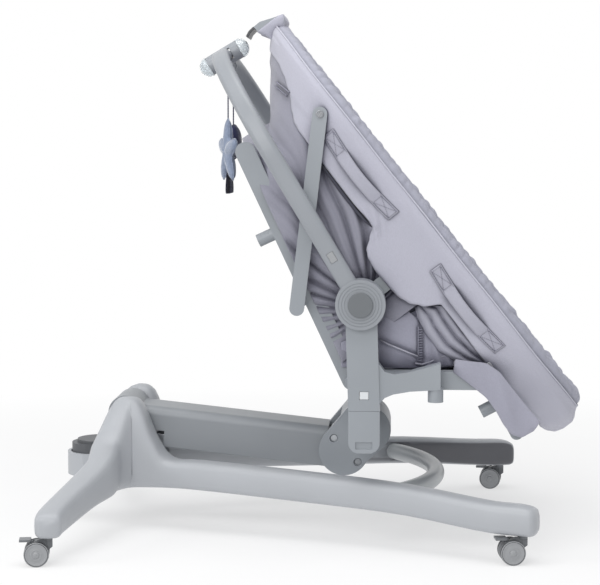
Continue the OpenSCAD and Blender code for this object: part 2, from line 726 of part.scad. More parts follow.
module basket() {
    head_in = 96;
    foot_bulge = 20;
    n = 48;
    levels = 5;
    color(fabric) at_ring() difference() {
        skin([for (i = [0 : n - 1]) let (a = 360 * i / n)
            [for (j = [0 : 2 * levels + 1])
                let (
                    outer = j <= levels,
                    t = outer ? j / levels : (2 * levels + 1 - j) / levels,
                    inset = outer ? 0 : fabric_t,
                    top = stadium(a, ring_len / 2 + 6 - inset, ring_end_r + 4 - inset),
                    low = stadium(a, ring_len / 2 + 6 - head_in / 2 - inset, ring_end_r + 2 - inset),
                    x_low = low[0] + ring_cx + head_in / 2,
                    bulge = foot_bulge * sin(180 * t) * pow(max(cos(a), 0), 2)
                )
                [(top[0] + ring_cx) * (1 - t) + x_low * t + bulge,
                    top[1] * (1 - t) + low[1] * t,
                    skirt_top * (1 - t) + skirt_edge(x_low) * t]]],
            closed = true);
        ycyl([rivet_x, rivet_z], 4 + gap, -yi, yi);
    }
}

strap_w = 24;
strap_t = 4;
handle_len = 134;
handle_x = [-170, 120];
module carry_handles() {
    color(fabric) at_ring() for (s = [-1, 1], x = handle_x)
        translate([x, s * (ring_end_r + 4 + gap + strap_t / 2), skirt_top - 20])
            rotate([90, 0, 0]) linear_extrude(strap_t, center = true) rrect(handle_len, strap_w, 3);
}

// Housing of the recline lever, clipped on the ring's head end
lever_p = [head_x - 33, ring_rise - 21];
module head_block() {
    color(plastic) at_ring() difference() {
        yprism(-head_w / 2, head_w / 2) translate([head_x, ring_rise]) polygon([
            [-38, -12], [-22, 28], [-13, 25], [-6, 15], [10, 14], [13, -14],
            [-10, -16], [-28, -26], [-38, -26]]);
        oval_tube(ring_d / 2 + gap);
        yprism(-35, 35) translate(lever_p) circle(7);
        yprism(-35, 35) translate(lever_p) polygon([[-20, -20], [-20, 5], [0, 7], [7, 0], [7, -20]]);
    }
    color(steel) at_ring() ycyl(lever_p, 2.5, -36, 36);
}

module recline_lever() {
    color(plastic_dark) at_ring() difference() {
        union() {
            ycyl(lever_p, 5.5, -34, 34);
            yprism(-34, 34) translate(lever_p) polygon([
                [-5.4, 1], [-8, -8], [-7, -18], [-3, -27], [2, -26], [-2, -17], [-3, -8], [0, -5]]);
        }
        ycyl(lever_p, 2.5 + fit, -50, 50);
    }
}

// ---- side links -----------------------------------------------------------
link_in = ring_end_r + 8.8;
link_top = [recline_x + rivet_x * cos(ring_angle) + rivet_z * sin(ring_angle),
    recline_z - rivet_x * sin(ring_angle) + rivet_z * cos(ring_angle)];
link_foot_x = -161;                              // lower link pin on the backrest, in its own frame
link_foot_z = -26;
link_low = [back_x + link_foot_x * cos(back_angle) + link_foot_z * sin(back_angle),
    seat_z - link_foot_x * sin(back_angle) + link_foot_z * cos(back_angle)];
link_dir = (link_low - link_top) / norm(link_low - link_top);
link_tip_r = 4;
slot_run = 9;                                    // travel of the lower pin along the link
slot_play = 10.4;                                // and across it
rivet_r = 4;

module side_link() {
    difference() {
        color(plastic) yprism(-link_in - link_t, -link_in)
            flat_bar(link_top, link_low + slot_run * link_dir, link_w);
        ycyl(link_top, rivet_r + fit, -far, 0);
        yprism(-link_in - link_t * 0.65, -link_in + 1)
            flat_bar(link_low - link_dir, link_low + slot_run * link_dir, 2 * link_tip_r + slot_play);
    }
}
module side_link_right() { side_link(); }
module side_link_left() { mirror([0, 1, 0]) side_link(); }

module link_rivets() {
    color(steel) for (s = [-1, 1]) {
        out = link_in + link_t;
        side_cyl(s, link_top, rivet_r, rivet_y - 8, out + gap);
        side_cyl(s, link_top, rivet_r + 2.5, out + gap, out + 2.4);
    }
}

// ---- backrest -------------------------------------------------------------
// Local frame: x runs from the head end down to the hinge at 0, z towards the child
module at_back() { along([back_x, seat_z], -back_angle) children(); }
back_half = back_tube_w / 2;

module backrest_frame() {
    color(plastic) at_back() {
        for (s = [-1, 1]) difference() {
            union() {
                yprism(s > 0 ? fold_in : -fold_out, s > 0 ? fold_out : -fold_in) {
                    flat_bar([0, 0], [-back_len + back_half, 0], back_tube_w);
                    flat_bar([link_foot_x, 0], [link_foot_x, link_foot_z], 22);
                }
                side_cyl(s, [link_foot_x, link_foot_z], 7, fold_in, link_in - gap);
                side_cyl(s, [link_foot_x, link_foot_z], link_tip_r, fold_in, link_in + link_t / 2);
                translate([-283, s * (fold_out + fold_in) / 2, -back_half - foot_len])
                    cylinder(d = foot_d, h = foot_len + 5);
            }
            ycyl([0, 0], 7 + fit, -yi, yi);
        }
        for (x = [-back_len + 16, -300, -120])
            ycyl([x, -4], 9, -fold_in - 1, fold_in + 1);
    }
}

module back_board() {
    color(plastic_dark) at_back()
        translate([-back_len + 30, -fold_in + 0.5, 6]) cube([back_len - 60, 2 * fold_in - 1, 4]);
}

module back_pad() {
    color(fabric) at_back() translate([0, 0, 10 + gap]) pad(-back_len + 44, -42, pad_w, pad_t, 24);
}

// ---- leg rest -------------------------------------------------------------
module at_leg_rest() { along([seat_x1, seat_z], -leg_rest_angle) children(); }

module leg_rest_frame() {
    color(plastic) at_leg_rest() {
        for (s = [-1, 1]) difference() {
            union() {
                yprism(s > 0 ? fold_in : -fold_out, s > 0 ? fold_out : -fold_in)
                    flat_bar([0, 0], [leg_rest_len - 11, 0], 22);
                translate([42, s * (fold_out + fold_in) / 2, -9 - foot_len])
                    cylinder(d = foot_d, h = foot_len + 4);
            }
            ycyl([0, 0], 6 + fit, -yi, yi);
        }
        for (x = [leg_rest_len - 12, 36]) ycyl([x, -2], 7, -fold_in - 1, fold_in + 1);
        translate([24, -fold_in + 1, 4]) cube([leg_rest_len - 30, 2 * fold_in - 2, 4]);
    }
}

module leg_rest_pad() {
    color(fabric) at_leg_rest() translate([0, 0, 8 + gap]) pad(24, leg_rest_len, pad_w, pad_t * 0.75, 16);
}

// ---- toy bar --------------------------------------------------------------
// Local frame: x runs from the recline axis to the middle of the bar's top
bar_y = y_disc + gap + hub_t / 2;
bar_straight = toy_bar_reach - toy_bar_bend;
module at_bar() { along(d_axis, 180 - toy_bar_angle) children(); }

module bar_section() { rrect(toy_bar_t, toy_bar_w, 9); }

bar_button_x = 92;
eye_r = 7.7;                                     // rings that the toys hang from
toy_eye = [toy_bar_reach - toy_bar_t / 2 - 6, -2];
star_y = -42;
moon_y = 62;
module toy_bar() {
    color(plastic) at_bar() difference() {
        union() {
            for (s = [-1, 1]) {
                translate([0, s * bar_y, 0]) rotate([90, 0, 90]) linear_extrude(bar_straight) bar_section();
                translate([bar_straight, s * (bar_y - toy_bar_bend), 0]) rotate([0, 0, s > 0 ? 0 : -90])
                    rotate_extrude(angle = 90, $fn = 96) translate([toy_bar_bend, 0]) bar_section();
                side_cyl(s, [0, 0], disc_d / 2, y_disc + gap, hub_out);
            }
            translate([toy_bar_reach, -bar_y + toy_bar_bend, 0]) rotate([-90, 0, 0])
                linear_extrude(2 * (bar_y - toy_bar_bend)) bar_section();
            for (y = [star_y, moon_y]) ycyl(toy_eye, eye_r, y - 3, y + 3);
        }
        for (y = [star_y, moon_y]) ycyl(toy_eye, eye_r - 3, y - 4, y + 4);
        ycyl([0, 0], shaft_d / 2 + fit, -hub_out - 1, hub_out + 1);
        for (s = [-1, 1]) {
            for (r = [26, 31, 36]) rotate([90, 0, 0]) translate([0, 0, s * hub_out]) difference() {
                cylinder(r = r + 0.6, h = 1.6, center = true);
                cylinder(r = r - 0.6, h = 2, center = true);
            }
            translate([bar_button_x - 9, s > 0 ? bar_y + toy_bar_t / 2 - 7 : -bar_y - toy_bar_t / 2 - 1, -6])
                cube([18, 8, 12]);
        }
    }
}

module bar_button() {
    color(plastic) at_bar() translate([bar_button_x - 9 + gap, -bar_y - toy_bar_t / 2 - 0.8, -6 + gap])
        cube([18 - 2 * gap, 5, 12 - 2 * gap]);
}
module bar_button_right() { bar_button(); }
module bar_button_left() { mirror([0, 1, 0]) bar_button(); }

dome_r = console_d / 2 + 1;
module toy_holder() {
    color(plastic) at_bar() translate([toy_bar_reach, 0, 0]) difference() {
        translate([0, 0, -console_len / 2]) cylinder(d = console_d, h = console_len);
        cube([toy_bar_t + 2 * gap, console_d + 2, toy_bar_w + 2 * gap], center = true);
    }
}

module holder_domes() {
    color(clear) at_bar() translate([toy_bar_reach, 0, 0]) for (s = [-1, 1])
        translate([0, 0, s * (console_len / 2 + gap)]) intersection() {
            difference() { sphere(dome_r); sphere(dome_r - 1.6); }
            translate([0, 0, s * 50]) cube(100, center = true);
        }
}

// ---- hanging toys ---------------------------------------------------------
toy_x = recline_x - toy_eye[0] * cos(toy_bar_angle) - toy_eye[1] * sin(toy_bar_angle);
toy_z = recline_z + toy_eye[0] * sin(toy_bar_angle) - toy_eye[1] * cos(toy_bar_angle);

module star_shape(r, n = 5) {
    polygon([for (i = [0 : 2 * n - 1])
        let (q = i % 2 == 0 ? r : r * 0.52, a = 90 + 180 * i / n) q * [cos(a), sin(a)]]);
}

cord_d = 2.4;
star_cord_len = 88;
moon_cord_len = 98;
module toy_cord(y, l) {
    translate([toy_x, y, toy_z - eye_r - gap - l]) {
        translate([0, 0, cord_d / 2]) cylinder(d = cord_d, h = l - cord_d / 2, $fn = 16);
        translate([0, 0, cord_d / 2]) sphere(d = cord_d);
    }
}

module star_cord() { color(fabric_navy) toy_cord(star_y, star_cord_len); }
module moon_cord() { color(fabric_navy) toy_cord(moon_y, moon_cord_len); }

star_r = 60;
star_t = 18;
tail_len = 52;
module star_toy() {
    z = toy_z - eye_r - 2 * gap - star_cord_len;     // top of the toy
    color(fabric_blue) translate([toy_x, star_y, z - star_r]) {
        translate([-star_t / 2, 0, 0]) rotate([90, 0, 90]) linear_extrude(star_t) star_shape(star_r);
        translate([-2, -10, -0.36 * star_r - tail_len]) cube([5, 14, tail_len]);
    }
}

moon_r = 32;
moon_t = 14;
module moon_toy() {
    z = toy_z - eye_r - 2 * gap - moon_cord_len;
    color(fabric_navy) translate([toy_x - moon_t / 2, moon_y, z - moon_r]) rotate([90, 0, 90])
        linear_extrude(moon_t) circle(moon_r);
}

near_leg();
far_leg();
hub_base();
cross_tube();
arm_base_pins();
pedal_housing();
foot_pedal();
pedal_pin();
caster_body_rear_right();
caster_body_rear_left();
caster_body_front_right();
caster_body_front_left();
caster_wheels_rear_right();
caster_wheels_rear_left();
caster_wheels_front_right();
caster_wheels_front_left();
caster_brake_rear_right();
caster_brake_rear_left();
caster_brake_front_right();
caster_brake_front_left();
arm_shell();
upper_link();
lower_link();
carrier_hub();
carrier_pins();
carrier_beam();
socket_right();
socket_left();
upright_right();
upright_left();
latch_button_right();
latch_button_left();
seat_frame();
seat_pad();
recline_shaft_right();
recline_shaft_left();
top_ring();
rim_cover();
basket();
carry_handles();
head_block();
recline_lever();
side_link_right();
side_link_left();
link_rivets();
backrest_frame();
back_board();
back_pad();
leg_rest_frame();
leg_rest_pad();
toy_bar();
toy_holder();
holder_domes();
bar_button_right();
bar_button_left();
star_cord();
moon_cord();
star_toy();
moon_toy();
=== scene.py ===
# %% [markdown]
# A reclining baby swing and cradle on casters, dressed in Blender around its CAD frame.
# The CAD frame holds every rigid piece at its real size and every joint at its real place. We load it
# first and never move it. Rigid pieces that already have the right shape only get rounded edges and a
# finish; everything sewn is modelled here as a new piece that rides on the CAD body it belongs to.

# %% Load the frame and keep its box
import json
import math
import bmesh
import bpy
import numpy as np
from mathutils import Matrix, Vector
from mathutils.noise import noise as hum


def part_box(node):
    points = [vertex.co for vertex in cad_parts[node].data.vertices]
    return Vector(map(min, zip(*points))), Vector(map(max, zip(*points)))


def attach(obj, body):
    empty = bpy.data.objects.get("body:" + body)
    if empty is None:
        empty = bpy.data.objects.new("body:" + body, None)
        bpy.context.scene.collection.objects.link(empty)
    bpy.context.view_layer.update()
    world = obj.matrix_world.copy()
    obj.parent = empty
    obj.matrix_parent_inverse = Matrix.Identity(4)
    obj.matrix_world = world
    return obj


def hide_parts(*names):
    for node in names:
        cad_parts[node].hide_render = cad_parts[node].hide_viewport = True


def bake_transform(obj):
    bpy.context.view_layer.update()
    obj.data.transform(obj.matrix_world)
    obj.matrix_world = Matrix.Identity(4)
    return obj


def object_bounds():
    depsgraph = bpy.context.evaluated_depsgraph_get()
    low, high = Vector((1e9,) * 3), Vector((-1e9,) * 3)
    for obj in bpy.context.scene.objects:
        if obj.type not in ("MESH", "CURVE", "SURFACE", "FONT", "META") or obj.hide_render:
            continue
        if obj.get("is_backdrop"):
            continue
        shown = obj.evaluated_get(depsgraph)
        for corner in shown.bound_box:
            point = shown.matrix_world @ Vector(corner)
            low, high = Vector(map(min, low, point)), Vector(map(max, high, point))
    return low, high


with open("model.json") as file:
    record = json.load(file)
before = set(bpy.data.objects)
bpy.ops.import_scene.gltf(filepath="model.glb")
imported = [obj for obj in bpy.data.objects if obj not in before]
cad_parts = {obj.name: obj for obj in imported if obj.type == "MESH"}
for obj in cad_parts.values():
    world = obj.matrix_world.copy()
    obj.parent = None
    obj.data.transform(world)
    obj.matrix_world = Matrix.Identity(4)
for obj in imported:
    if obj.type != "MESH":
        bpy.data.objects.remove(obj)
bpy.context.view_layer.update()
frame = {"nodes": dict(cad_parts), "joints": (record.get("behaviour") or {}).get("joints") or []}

nodes = frame["nodes"]
joints = {j["name"]: j for j in frame["joints"]}

# %% [markdown]
# The camera stands level with the cradle's side, a little over three metres away, with a long lens.
# A long lens from far off keeps the two base legs nearly parallel, as a catalogue picture has them.

# %% Camera
IMAGE_WIDE, IMAGE_HIGH = 600, 585
SENSOR = 36.0
LENS = 105.0
CAMERA_PLACE = Vector((0.1377, -3.163, 0.701))
CAMERA_YAW, CAMERA_PITCH = 3.01, 5.10

lens = bpy.data.cameras.new("camera")
lens.sensor_width, lens.lens = SENSOR, LENS
lens.clip_start, lens.clip_end = 0.1, 60
camera = bpy.data.objects.new("camera", lens)
camera.location = CAMERA_PLACE
camera.rotation_euler = (math.radians(90 - CAMERA_PITCH), 0, math.radians(CAMERA_YAW))
bpy.context.scene.collection.objects.link(camera)
bpy.context.scene.camera = camera
print("picture shape:", round(IMAGE_WIDE / IMAGE_HIGH, 3))

# %% [markdown]
# Materials are built from nodes. A small helper makes each node tree readable: it adds a node, sets
# its inputs and links them in one call. Colours are given as a painter would read them off a swatch,
# 0 to 255, and turned into the linear light values that the shader works with.

# %% Helpers for node trees
def swatch(r, g, b):
    linear = [(v / 255 / 12.92) if v <= 10 else ((v / 255 + 0.055) / 1.055) ** 2.4 for v in (r, g, b)]
    return (*linear, 1.0)


class Recipe:
    """A material with one Principled shader, and short calls that add nodes to it."""

    def __init__(self, name, rough=0.5, **sockets):
        self.material = bpy.data.materials.new(name)
        self.material.use_nodes = True
        self.tree = self.material.node_tree
        self.shader = self.tree.nodes["Principled BSDF"]
        self.shader.inputs["Roughness"].default_value = rough
        for socket, value in sockets.items():
            self.shader.inputs[socket.replace("_", " ")].default_value = value
        self.place = self.add("TexCoord").outputs["Object"]

    def add(self, kind, inputs=None, **settings):
        node = self.tree.nodes.new("ShaderNode" + kind)
        for key, value in settings.items():
            setattr(node, key, value)
        for key, value in (inputs or {}).items():
            if isinstance(value, bpy.types.NodeSocket):
                self.tree.links.new(value, node.inputs[key])
            else:
                node.inputs[key].default_value = value
        return node

    def into(self, output, socket):
        self.tree.links.new(output, self.shader.inputs[socket])

    def stretched(self, x, y, z, turn=0.0):
        node = self.add("Mapping", {"Vector": self.place, "Scale": (x, y, z)})
        node.inputs["Rotation"].default_value = (0, turn, 0)
        return node.outputs["Vector"]

    def specks(self, scale, detail=2.0, vector=None, rough=0.5):
        inputs = {"Vector": vector or self.place, "Scale": scale, "Detail": detail, "Roughness": rough}
        return self.add("TexNoise", inputs).outputs["Fac"]

    def threads(self, scale, vector=None, direction="X", profile="SIN"):
        inputs = {"Vector": vector or self.place, "Scale": scale, "Distortion": 0.0}
        return self.add("TexWave", inputs, bands_direction=direction, wave_profile=profile).outputs["Fac"]

    def ramp(self, factor, *stops):
        node = self.add("ValToRGB", {"Fac": factor})
        while len(node.color_ramp.elements) < len(stops):
            node.color_ramp.elements.new(0.5)
        for element, (at, colour) in zip(node.color_ramp.elements, stops):
            element.position, element.color = at, colour
        return node.outputs["Color"]

    def blend(self, factor, one, two, mode="MIX"):
        node = self.add("Mix", data_type="RGBA", blend_type=mode)
        for socket, value in ((0, factor), (6, one), (7, two)):
            if isinstance(value, bpy.types.NodeSocket):
                self.tree.links.new(value, node.inputs[socket])
            else:
                node.inputs[socket].default_value = value
        return node.outputs[2]

    def sum(self, one, two, weight=1.0, how="MULTIPLY_ADD"):
        node = self.add("Math", operation=how)
        for socket, value in enumerate((two, weight, one)):
            if isinstance(value, bpy.types.NodeSocket):
                self.tree.links.new(value, node.inputs[socket])
            else:
                node.inputs[socket].default_value = value
        return node.outputs[0]

    def two_tone(self, factor, colour, dark, light, light_at=0.7):
        """A colour that wanders between a darker and a lighter shade of itself."""
        return self.ramp(factor, (0.3, shade(colour, dark)), (light_at, shade(colour, light)))

    def span(self, factor, low, high):
        inputs = {"Value": factor, "To Min": low, "To Max": high}
        return self.add("MapRange", inputs).outputs["Result"]

    def bump(self, height, strength, distance):
        inputs = {"Height": height, "Strength": strength, "Distance": distance}
        self.into(self.add("Bump", inputs).outputs["Normal"], "Normal")


def shade(colour, by):
    return (*(v * by for v in colour[:3]), 1.0)


print("helpers ready")

# %% [markdown]
# Moulded plastic is never quite even. The skin of the mould leaves a fine grain, the flow of the
# melt leaves broad soft clouds, and hands and floors polish it in places. One recipe makes all the
# plastics of the swing from those three things, so they look like one family.

# %% Plastics
GRAIN_DEPTH = 0.0003


def moulded(name, colour, rough, grain=0.12, grain_size=1400, clouds=0.035, polish=0.06):
    r = Recipe(name, rough)
    cloud = r.specks(7, 3)
    r.into(r.two_tone(cloud, colour, 1 - clouds, 1 + clouds), "Base Color")
    r.into(r.span(r.specks(55, 4), rough - polish, rough + polish), "Roughness")
    r.bump(r.specks(grain_size, 2), grain, GRAIN_DEPTH)
    return r.material


shell_grey = moulded("satin_grey_shell", swatch(172, 175, 180), 0.42)
post_grey = moulded("satin_grey_posts", swatch(146, 151, 157), 0.42)
bar_grey = moulded("satin_grey_bar", swatch(142, 146, 152), 0.36)
arm_grey = moulded("matt_arm_shell", swatch(140, 144, 149), 0.4)
hub_grey = moulded("matt_hub_shell", swatch(100, 104, 109), 0.45)
dark_grey = moulded("dark_plastic", swatch(82, 84, 88), 0.5, grain=0.2)
cap_grey = moulded("leather_grain_cap", swatch(104, 108, 112), 0.5, grain=0.9, grain_size=420)
lever_grey = moulded("charcoal_lever", swatch(62, 63, 67), 0.4)
caster_grey = moulded("caster_hood", swatch(112, 115, 119), 0.38)
wheel_grey = moulded("caster_disc", swatch(150, 152, 155), 0.4)
milky = moulded("milky_latch", swatch(214, 217, 220), 0.35)
print("plastics:", [m.name for m in bpy.data.materials][-10:])

# %% [markdown]
# The legs are shells of satin grey outside. The sides that face the other leg get a darker plain grey,
# painted shade for the shadow between the two legs. One material does both. A face looks inwards where
# its place across the swing and its normal have opposite signs, so their product is far below zero
# only on the inner sides, and that product chooses between the two colours.

# %% Leg finish with painted shade on the inner sides
LEG_SHELL = swatch(172, 175, 180)
INNER_SHADE_FROM, INNER_SHADE_FULL = -0.13, -0.19


def leg_shell_with_painted_shade():
    r = Recipe("leg_shell_painted_inner_shade", 0.42)
    spot = r.add("SeparateXYZ", {0: r.place}).outputs["Y"]
    facing = r.add("SeparateXYZ", {0: r.add("TexCoord").outputs["Normal"]}).outputs["Y"]
    outward = r.add("Math", {0: spot, 1: facing}, operation="MULTIPLY").outputs[0]
    limits = {"Value": outward, "From Min": INNER_SHADE_FROM, "From Max": INNER_SHADE_FULL}
    inner = r.add("MapRange", limits).outputs["Result"]
    cloud = r.specks(7, 3)
    outer = r.two_tone(cloud, LEG_SHELL, 0.965, 1.035)
    # Painted shade: this darker grey goes on the inner sides, which face the other leg.
    cover = r.ramp(cloud, (0.3, swatch(88, 89, 94)), (0.7, swatch(98, 99, 104)))
    r.into(r.blend(inner, outer, cover), "Base Color")
    r.into(r.span(r.specks(55, 4), 0.36, 0.48), "Roughness")
    r.bump(r.specks(1400, 2), 0.12, GRAIN_DEPTH)
    return r.material


leg_painted_inner_shade = leg_shell_with_painted_shade()
print("leg finish:", leg_painted_inner_shade.name, "with", len(leg_painted_inner_shade.node_tree.nodes), "nodes")

# %% [markdown]
# The tyres are a thin band of soft rubber with dust in its pores; the tube across the base and the
# frames under the fabric are steel with a sprayed coat, whose orange-peel surface is coarser and
# shallower than moulded grain; pins and rivets are drawn steel, polished along their length.

# %% Rubber, paint and steel
def tyre_rubber():
    r = Recipe("tyre_rubber", 0.75)
    dust = r.specks(240, 5)
    r.into(r.ramp(dust, (0.35, swatch(58, 60, 63)), (0.75, swatch(92, 94, 97))), "Base Color")
    r.bump(r.specks(900, 3), 0.35, 0.0004)
    return r.material


def sprayed(name, colour):
    r = Recipe(name, 0.36, Coat_Weight=0.25, Coat_Roughness=0.2)
    r.into(r.two_tone(r.specks(5, 2), colour, 0.96, 1.04), "Base Color")
    r.bump(r.specks(420, 1), 0.08, 0.0004)
    return r.material


def drawn_steel(name, colour, rough):
    r = Recipe(name, rough, Metallic=1.0)
    lines = r.specks(300, 2, r.stretched(1, 0.05, 1))
    r.into(r.two_tone(lines, colour, 0.88, 1.06), "Base Color")
    r.into(r.span(lines, rough - 0.06, rough + 0.08), "Roughness")
    return r.material


rubber = tyre_rubber()
tube_paint = sprayed("painted_tube", swatch(168, 172, 175))
bright_steel = drawn_steel("polished_rivet", swatch(150, 152, 156), 0.14)
pin_steel = drawn_steel("zinc_pins", swatch(176, 179, 183), 0.34)
print("metals:", bright_steel.name, pin_steel.name)

# %% [markdown]
# The toy holder ends in two clear domes. Clear plastic lets most of the light through and bends it a
# little; a thin clear coat gives the sharp highlight, and a faint unevenness keeps it from looking
# like perfect glass.

# %% Clear plastic
def clear_plastic():
    r = Recipe("clear_dome", 0.08, IOR=1.45, Transmission_Weight=0.82, Coat_Weight=0.3)
    tint = r.ramp(r.specks(14, 2), (0.3, swatch(232, 238, 242)), (0.7, swatch(246, 249, 251)))
    r.into(tint, "Base Color")
    r.bump(r.specks(60, 2), 0.05, 0.0005)
    return r.material


dome_clear = clear_plastic()
print("clear:", dome_clear.name)

# %% [markdown]
# The cover is a light lilac-grey cloth, a plain weave of melange yarn. Two fine waves at right
# angles raise the warp and the weft; soft patches of lighter and darker yarn make the melange; and a
# little sheen lifts the edges where loose fibres catch the light. Ruffle, lining and webbing are the
# same cloth with other weights of each. Every cloth also carries painted shade: an ambient occlusion
# node finds how much open air each spot has within a few centimetres, tints the shut-in spots of
# creases and folds a deeper lilac, and lifts the open spots a little. It depends on the shape, not on
# where we look from.

# %% Cloth
# How far the painted crease shade looks for open air, its colour, and the lift on open cloth.
PAINTED_SHADE_REACH = 0.035
PAINTED_CREASE_SHADE = swatch(118, 118, 132)
PAINTED_OPEN_LIGHT = (1.04, 1.04, 1.04, 1)
THREAD_RELIEF = 0.00035


def woven(name, colour, thread=900, melange=0.06, sheen=0.25, slub=0.05, rough=0.85, relief=0.3, turn=0.0):
    r = Recipe(name, rough, Sheen_Weight=sheen, Sheen_Roughness=0.45)
    turned = r.stretched(1, 1, 1, turn)
    warp, weft = r.threads(thread, turned, "X"), r.threads(thread, turned, "Z")
    across = r.threads(thread, turned, "Y")
    cloth = r.sum(r.sum(warp, weft, 1.0, "MULTIPLY_ADD"), across, 0.5)
    yarn = r.specks(1300, 3, r.stretched(1, 1, 0.25, turn))
    patches = r.specks(16, 4)
    base = r.two_tone(yarn, colour, 1 - melange, 1 + melange)
    body = r.blend(r.span(patches, 0, 2 * slub), base, shade(colour, 0.8))
    # Painted shade: creases and folds turn a deeper lilac, and open cloth is lifted a little.
    open_air = r.add("AmbientOcclusion", {"Distance": PAINTED_SHADE_REACH}, samples=6).outputs["AO"]
    painted_crease_shade = r.ramp(open_air, (0.35, PAINTED_CREASE_SHADE), (0.92, PAINTED_OPEN_LIGHT))
    r.into(r.blend(1.0, body, painted_crease_shade, "MULTIPLY"), "Base Color")
    r.bump(r.sum(cloth, yarn, 0.6), relief, THREAD_RELIEF)
    return r.material


lilac = woven("lilac_cloth", swatch(181, 181, 194))
lilac_rim = woven("lilac_rim_cloth", swatch(190, 190, 203), melange=0.04)
# The ruffle is this lilac cloth made darker, painted shade for the ruffle on the top and inner side of the
# ring.
lilac_ruffle_painted_shade = woven("lilac_ruffle_cloth_painted_shade", swatch(164, 165, 179), melange=0.08, sheen=0.15)
lilac_strap = woven("lilac_webbing", swatch(176, 176, 189), thread=520, relief=0.5, sheen=0.12)
# The liner walls are the lining made much darker, painted shade for the inside of the cradle.
liner_painted_shade = woven("liner_wall_cloth_painted_shade", swatch(128, 129, 141), thread=800, sheen=0.2)
fold_dark = woven("fold_gap_cloth", swatch(66, 66, 78), thread=800, sheen=0.1)
lining = woven("seat_lining", swatch(168, 168, 181), thread=700, sheen=0.35)
thread_dark = woven("stitch_thread", swatch(152, 152, 167), thread=2600, sheen=0.0, melange=0.12)
tag_white = woven("blank_tag", swatch(206, 207, 212), thread=1600, sheen=0.1, relief=0.15)
navy = woven("navy_ribbon", swatch(40, 43, 76), thread=1400, sheen=0.5, rough=0.5)
print("cloths ready")

# %% [markdown]
# The toys are short plush. The pile stands in small clumps, which show as darker and lighter patches
# a few millimetres wide, and a strong sheen gives the pale edge that velvet and plush have.

# %% Plush
def plush(name, colour, pile=0.9):
    r = Recipe(name, 0.95, Sheen_Weight=pile, Sheen_Roughness=0.35)
    clumps = r.specks(190, 5, rough=0.65)
    fibres = r.specks(1800, 3)
    r.into(r.two_tone(clumps, colour, 0.82, 1.16, light_at=0.72), "Base Color")
    r.bump(r.sum(clumps, fibres, 0.5), 0.6, 0.0012)
    return r.material


plush_blue = plush("slate_plush", swatch(132, 143, 165))
plush_navy = plush("navy_plush", swatch(52, 56, 92), pile=0.5)
print("plush:", plush_blue.name, plush_navy.name)

# %% [markdown]
# A studio sweep: the floor is pale and keeps the soft shadow of the casters, and it fades to plain
# white a little further out. The glow that whitens it is seen only by the camera, in reflections and
# through clear plastic, so it throws no light on the swing.

# %% Floor
FLOOR_HALF = 9.0
SHADOW_FROM, SHADOW_TO = 0.3, 1.7


def studio_floor():
    r = Recipe("studio_floor", 0.9)
    r.into(r.ramp(r.specks(3, 2), (0.3, swatch(242, 242, 243)), (0.7, swatch(246, 246, 247))), "Base Color")
    out = next(n for n in r.tree.nodes if n.type == "OUTPUT_MATERIAL")
    rays = r.add("LightPath").outputs
    seen = r.sum(r.sum(rays["Is Glossy Ray"], rays["Is Camera Ray"], 1.0, "ADD"),
                 rays["Is Transmission Ray"], 1.0, "ADD")
    away = r.add("VectorMath", {0: r.place}, operation="LENGTH").outputs["Value"]
    fade = r.add("MapRange", {"Value": away, "From Min": SHADOW_FROM, "From Max": SHADOW_TO,
                              "To Min": 0.55, "To Max": 1.0})
    part = r.add("Math", {0: seen, 1: fade.outputs["Result"]}, operation="MULTIPLY", use_clamp=True)
    glow = r.add("Emission", {"Color": (1, 1, 1, 1), "Strength": 1.0})
    mix = r.add("MixShader", {0: part.outputs[0], 1: r.shader.outputs[0], 2: glow.outputs[0]})
    r.tree.links.new(mix.outputs[0], out.inputs["Surface"])
    return r.material


floor_mesh = bpy.data.meshes.new("floor")
corners = [(-FLOOR_HALF, -FLOOR_HALF, 0), (FLOOR_HALF, -FLOOR_HALF, 0), (FLOOR_HALF, FLOOR_HALF, 0),
           (-FLOOR_HALF, FLOOR_HALF, 0)]
floor_mesh.from_pydata(corners, [], [(0, 1, 2, 3)])
floor = bpy.data.objects.new("floor", floor_mesh)
floor_mesh.materials.append(studio_floor())
bpy.context.scene.collection.objects.link(floor)
floor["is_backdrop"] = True
print("floor, metres across:", 2 * FLOOR_HALF)

# %% [markdown]
# The world gives two answers. A ray that the eye sees, straight or through gloss or clear plastic,
# meets plain white. Every other ray meets the weak bluish grey that fills the shadows.

# %% World
ROOM_LIGHT = 0.42
world = bpy.data.worlds.new("studio")
bpy.context.scene.world = world
world.use_nodes = True
wt = world.node_tree
for old in list(wt.nodes):
    wt.nodes.remove(old)
rays = wt.nodes.new("ShaderNodeLightPath")
any_of = wt.nodes.new("ShaderNodeMath"); any_of.operation = "ADD"
any_seen = wt.nodes.new("ShaderNodeMath"); any_seen.operation = "ADD"; any_seen.use_clamp = True
wt.links.new(rays.outputs["Is Camera Ray"], any_of.inputs[0])
wt.links.new(rays.outputs["Is Glossy Ray"], any_of.inputs[1])
wt.links.new(any_of.outputs[0], any_seen.inputs[0])
wt.links.new(rays.outputs["Is Transmission Ray"], any_seen.inputs[1])
room, white = wt.nodes.new("ShaderNodeBackground"), wt.nodes.new("ShaderNodeBackground")
room.inputs["Color"].default_value = (0.97, 0.985, 1.0, 1)
room.inputs["Strength"].default_value = ROOM_LIGHT
white.inputs["Color"].default_value = (1, 1, 1, 1)
white.inputs["Strength"].default_value = 1.0
pick, out = wt.nodes.new("ShaderNodeMixShader"), wt.nodes.new("ShaderNodeOutputWorld")
wt.links.new(any_seen.outputs[0], pick.inputs[0])
wt.links.new(room.outputs[0], pick.inputs[1])
wt.links.new(white.outputs[0], pick.inputs[2])
wt.links.new(pick.outputs[0], out.inputs["Surface"])
bpy.context.scene.view_settings.view_transform = "Standard"
print("room light:", ROOM_LIGHT)

